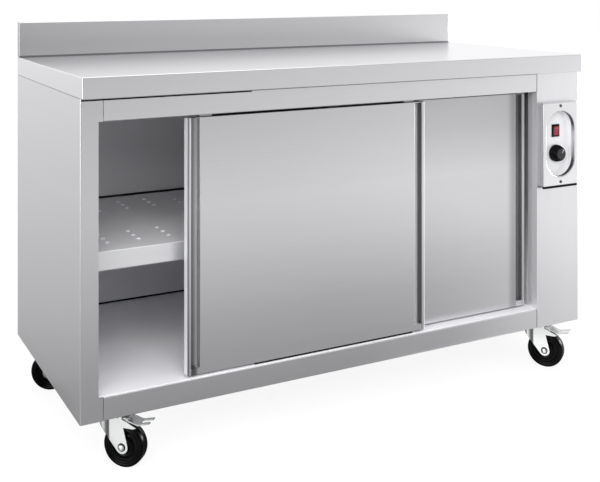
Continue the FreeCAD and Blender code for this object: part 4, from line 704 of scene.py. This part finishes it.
# Painted shade: the pedals' zinc plate is a darker copy of the forks', with random wear in its tone and roughness.
pedal, pedal_shader, pedal_place = finish("zinc_plate_painted_darker", Metallic=0.85)
wear = noise(pedal_place, 120.0, detail=3.0)
feed(pedal_shader, "Base Color", grey(0.68 + wear * 0.3, 0.97, 0.99))
feed(pedal_shader, "Roughness", 0.16 + wear * 0.2)
dress(pedal, "front_left_brake_pedal", "front_right_brake_pedal")

rubber, rubber_shader, rubber_place = finish("black_rubber", Base_Color=(0.001, 0.001, 0.0014, 1),
                                             Specular_IOR_Level=0.14)
scuff = noise(rubber_place, 160.0, detail=3.0)
feed(rubber_shader, "Roughness", 0.20 + scuff * 0.12)
TREAD = 0.0475
HALF = 0.015
BORE = 0.0051
FORK_HALF = 0.021
SHADOW_RING = 0.0090
SHADOW_RING_SHEET = 0.0008
RIVET = 0.0066
half_wheel = [
    (BORE, 0.017), (0.0125, 0.017), (0.0135, 0.0166), (0.0142, 0.0155), (0.0165, 0.0104), (0.0175, 0.0100),
    (0.0225, 0.0100), (0.0230, 0.0107), (0.0240, 0.0107), (0.0245, 0.0100), (0.0305, 0.0100), (0.0315, 0.0103),
    (0.0332, 0.0142), (0.0340, HALF), (0.0378, HALF), (0.0381, 0.0145), (0.0389, 0.0145), (0.0392, HALF),
    (0.0415, HALF), (0.0438, 0.01454), (0.04574, 0.01324), (0.04704, 0.0113), (TREAD, 0.0090),
    (TREAD, 0.0006), (TREAD + 0.0003, 0.0002),
]
half_axle = [(0, 0.0272), (0.0040, 0.0269), (0.0057, 0.0258), (RIVET, 0.0238), (RIVET, FORK_HALF + SHADOW_RING_SHEET),
             (0.005, FORK_HALF)]
shadow_ring = [(BORE, FORK_HALF), (SHADOW_RING, FORK_HALF), (SHADOW_RING, FORK_HALF + SHADOW_RING_SHEET),
          (BORE, FORK_HALF + SHADOW_RING_SHEET), (BORE, FORK_HALF)]


def mirrored(half):
    """A half outline and its mirror image below the middle."""
    return half + [(radius, -height) for radius, height in reversed(half)]


for corner in corners:
    roll = joints[corner + "_roll"]
    on_axle = stood(roll["pos_m"], roll["axis"])
    mesh = bmesh.new()
    spun(mesh, mirrored(half_wheel) + half_wheel[:1], 96)
    bmesh.ops.transform(mesh, matrix=on_axle, verts=mesh.verts)
    tyre = piece(corner + "_moulded_wheel", mesh, roll["child"], rubber)
    tyre.data.shade_smooth()
    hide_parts(corner + "_wheel")
    mesh = bmesh.new()
    spun(mesh, mirrored(half_axle), 48)
    bmesh.ops.transform(mesh, matrix=on_axle, verts=mesh.verts)
    axle = piece(corner + "_riveted_axle", mesh, roll["parent"], plate)
    axle.data.shade_smooth()
    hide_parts(corner + "_axle")
    # Painted shadow: a black ring behind each riveted axle end, showing as a dark crescent beside it.
    mesh = bmesh.new()
    spun(mesh, shadow_ring, 40)
    set_out(mesh, [on_axle, stood(roll["pos_m"], -Vector(roll["axis"]))])
    piece(corner + "_axle_washers", mesh, roll["parent"], shadow_and_seam_black)


# Studio: a white floor and sky under soft boxes, with the camera where the photographer stood.
# Near the cabinet the floor is less bright in the steel, where the cabinet stands over it.

bpy.ops.mesh.primitive_plane_add(size=30.0, location=(0, 0, 0))
floor = bpy.context.object
floor.name = "studio_floor"
floor_paint, floor_shader, floor_place = finish("studio_floor_white", Base_Color=(0.80, 0.80, 0.80, 1),
                                                Roughness=0.9)


def ray(reading, kind):
    """Whether a ray is of a kind."""
    return reading.node("ShaderNodeLightPath", {}, {}, "Is " + kind + " Ray")


def in_mirror(reading):
    """Whether a surface is seen in bright metal or through glass."""
    return ray(reading, "Glossy") + ray(reading, "Transmission")


def slope(reading, rise, start):
    """A straight slope, kept between nothing and one."""
    return reading.node("ShaderNodeMath", {"operation": "MULTIPLY_ADD", "use_clamp": True},
                        {0: reading, 1: rise, 2: start})


def beyond(along, start, stop):
    """How far a point lies outside a stretch of one axis."""
    return (start - along).at_least(along - stop).at_least(0.0)


def patch(x, y, soft):
    """One inside a rectangle of the floor, falling to nothing over a soft margin for each axis."""
    inside = 1.0
    for along, (start, stop), margin in zip((floor_x, floor_y), (x, y), soft):
        inside = slope(along - start, 1 / margin, 0.0) * slope(stop - along, 1 / margin, 0.0) * inside
    return inside


floor_x = axis_of(floor_place, "X")
floor_y = axis_of(floor_place, "Y")
out_x = beyond(floor_x, -0.7, 0.3)
out_y = beyond(floor_y, -0.3, 0.3)
away = floor_place.sum("POWER", out_x * out_x + out_y * out_y, 0.5)
FLOOR_FAR = 12.0
before = ramp(away, FLOOR_FAR, (0.0, 0.28), (0.35, 0.34), (0.55, 0.41), (1.0, 0.51), (1.33, 0.62), (1.7, 0.90),
              (2.3, 1.10), (3.0, 0.86), (4.5, 0.70), (6.0, 0.70), (FLOOR_FAR, 0.66))
behind = ramp(away, FLOOR_FAR, (0.0, 0.37), (0.12, 0.41), (0.47, 0.53), (0.67, 0.57), (2.1, 0.73), (5.8, 0.87),
              (9.0, 0.92))
rear = slope(floor_y, 1.25, 0.6)
right = slope(floor_x / (0 - floor_y).at_least(0.1), 2.5, -2.375)
lit = before + (floor_x - 1.0).at_least(0.0) * 0.045 + right * 0.3
# Seen only in the steel: painted pools of light by the front casters (glare), painted shade to the front left
# (gloom) and a painted shadow under the cabinet (under).
glare = (patch((-0.96, -0.62), (-0.46, -0.245), (0.05, 0.03)) + patch((-0.76, -0.56), (-0.105, 0.10), (0.03, 0.02))
         + patch((0.18, 0.60), (-0.46, -0.245), (0.05, 0.03)) + patch((0.36, 0.54), (-0.12, 0.10), (0.03, 0.03)))
gloom = patch((-9.0, -0.75), (-9.0, -1.0), (0.3, 0.3))
under = patch((-0.80, 0.8), (-0.26, 0.28), (0.04, 0.04))
in_steel = (lit - gloom * 0.45).at_most(1.05) * (1 - rear) + behind * rear
in_steel = in_steel * (1 - under * 0.8) + glare * 0.5
seen = ray(floor_place, "Camera")
bright = floor_place.node("ShaderNodeEmission", {}, {"Strength": seen * 0.86 + (1 - seen) * in_steel})
matt = floor_place.node("ShaderNodeBsdfDiffuse", {}, {"Color": grey(seen * 0.18)})
shown = floor_place.node("ShaderNodeAddShader", {}, {0: bright, 1: matt})
paint = Reading(floor_place.tree, floor_shader.outputs["BSDF"])
surface = floor_place.node("ShaderNodeMixShader", {}, {
    0: (seen + in_mirror(floor_place)).at_most(1.0), 1: paint, 2: shown})
floor_place.tree.links.new(surface.socket, floor_place.tree.nodes["Material Output"].inputs["Surface"])
floor.data.materials.append(floor_paint)

world = bpy.data.worlds.new("studio")
bpy.context.scene.world = world
world.use_nodes = True
sky = Reading(world.node_tree)
towards = sky.node("ShaderNodeTexCoord", {}, {}, "Generated")
side = axis_of(towards, "X")
back = axis_of(towards, "Y")
seen = ray(sky, "Camera")
mirror = in_mirror(sky).at_most(1.0)
dusk = slope(side * -0.38 - back * 0.92, 6.0, -4.9)
level = seen + (1 - seen) * (mirror * (0.80 + back * 0.36 + side * 0.10 - dusk * 0.5) + (1 - mirror) * 0.85)
sky.tree.links.new(level.socket, sky.tree.nodes["Background"].inputs["Strength"])
sky.tree.nodes["Background"].inputs["Color"].default_value = (1, 1, 1, 1)


def soft_box(name, place, aim, wide, high, power, shine=True, fill=True):
    """A studio soft box at a place, turned to a point; it shows in bright metal, fills the shade, or both."""
    lamp = bpy.data.lights.new(name, "AREA")
    lamp.shape = "RECTANGLE"
    lamp.size = wide
    lamp.size_y = high
    lamp.energy = power
    body = bpy.data.objects.new(name, lamp)
    bpy.context.collection.objects.link(body)
    body.visible_camera = False
    body.visible_glossy = shine
    body.visible_diffuse = fill
    body.location = place
    body.rotation_euler = (Vector(aim) - Vector(place)).to_track_quat("-Z", "Y").to_euler()


soft_box("overhead", (0.0, -0.6, 3.2), (0, 0, 0.6), 3.0, 2.0, 24.0, fill=False)
soft_box("left_box", (-3.3, -1.7, 1.0), (-0.5, -0.3, 0.5), 2.0, 2.2, 45.0)
soft_box("right_box", (3.7, -1.0, 1.0), (0.3, -0.3, 0.5), 1.2, 2.2, 28.0, fill=False)
soft_box("right_kick", (4.2, -0.95, 0.95), (-0.6, -0.24, 0.05), 0.35, 1.0, 45.0, fill=False)
soft_box("front_fill", (-1.4, -2.6, 2.3), (-0.4, 0.0, 0.3), 2.6, 1.8, 60.0, shine=False)

IMAGE_WIDTH = 600.0
IMAGE_HEIGHT = 482.0
FOCAL_PIXELS = 957.93
CENTRE_COLUMN = 263.98
CENTRE_ROW = -19.12
VIEWPOINT = (-1.2627, -2.2432, 1.0608)
VIEW_TURN = -26.897
camera = bpy.data.cameras.new("camera")
camera.sensor_width = 36.0
camera.lens = FOCAL_PIXELS * camera.sensor_width / IMAGE_WIDTH
camera.shift_x = (IMAGE_WIDTH / 2 - CENTRE_COLUMN) / IMAGE_WIDTH
camera.shift_y = (CENTRE_ROW - IMAGE_HEIGHT / 2) / IMAGE_WIDTH
camera.clip_end = 100.0
viewpoint = bpy.data.objects.new("camera", camera)
bpy.context.collection.objects.link(viewpoint)
viewpoint.location = VIEWPOINT
viewpoint.rotation_euler = (math.radians(90), 0, math.radians(VIEW_TURN))
bpy.context.scene.camera = viewpoint
bpy.context.scene.view_settings.view_transform = "Standard"
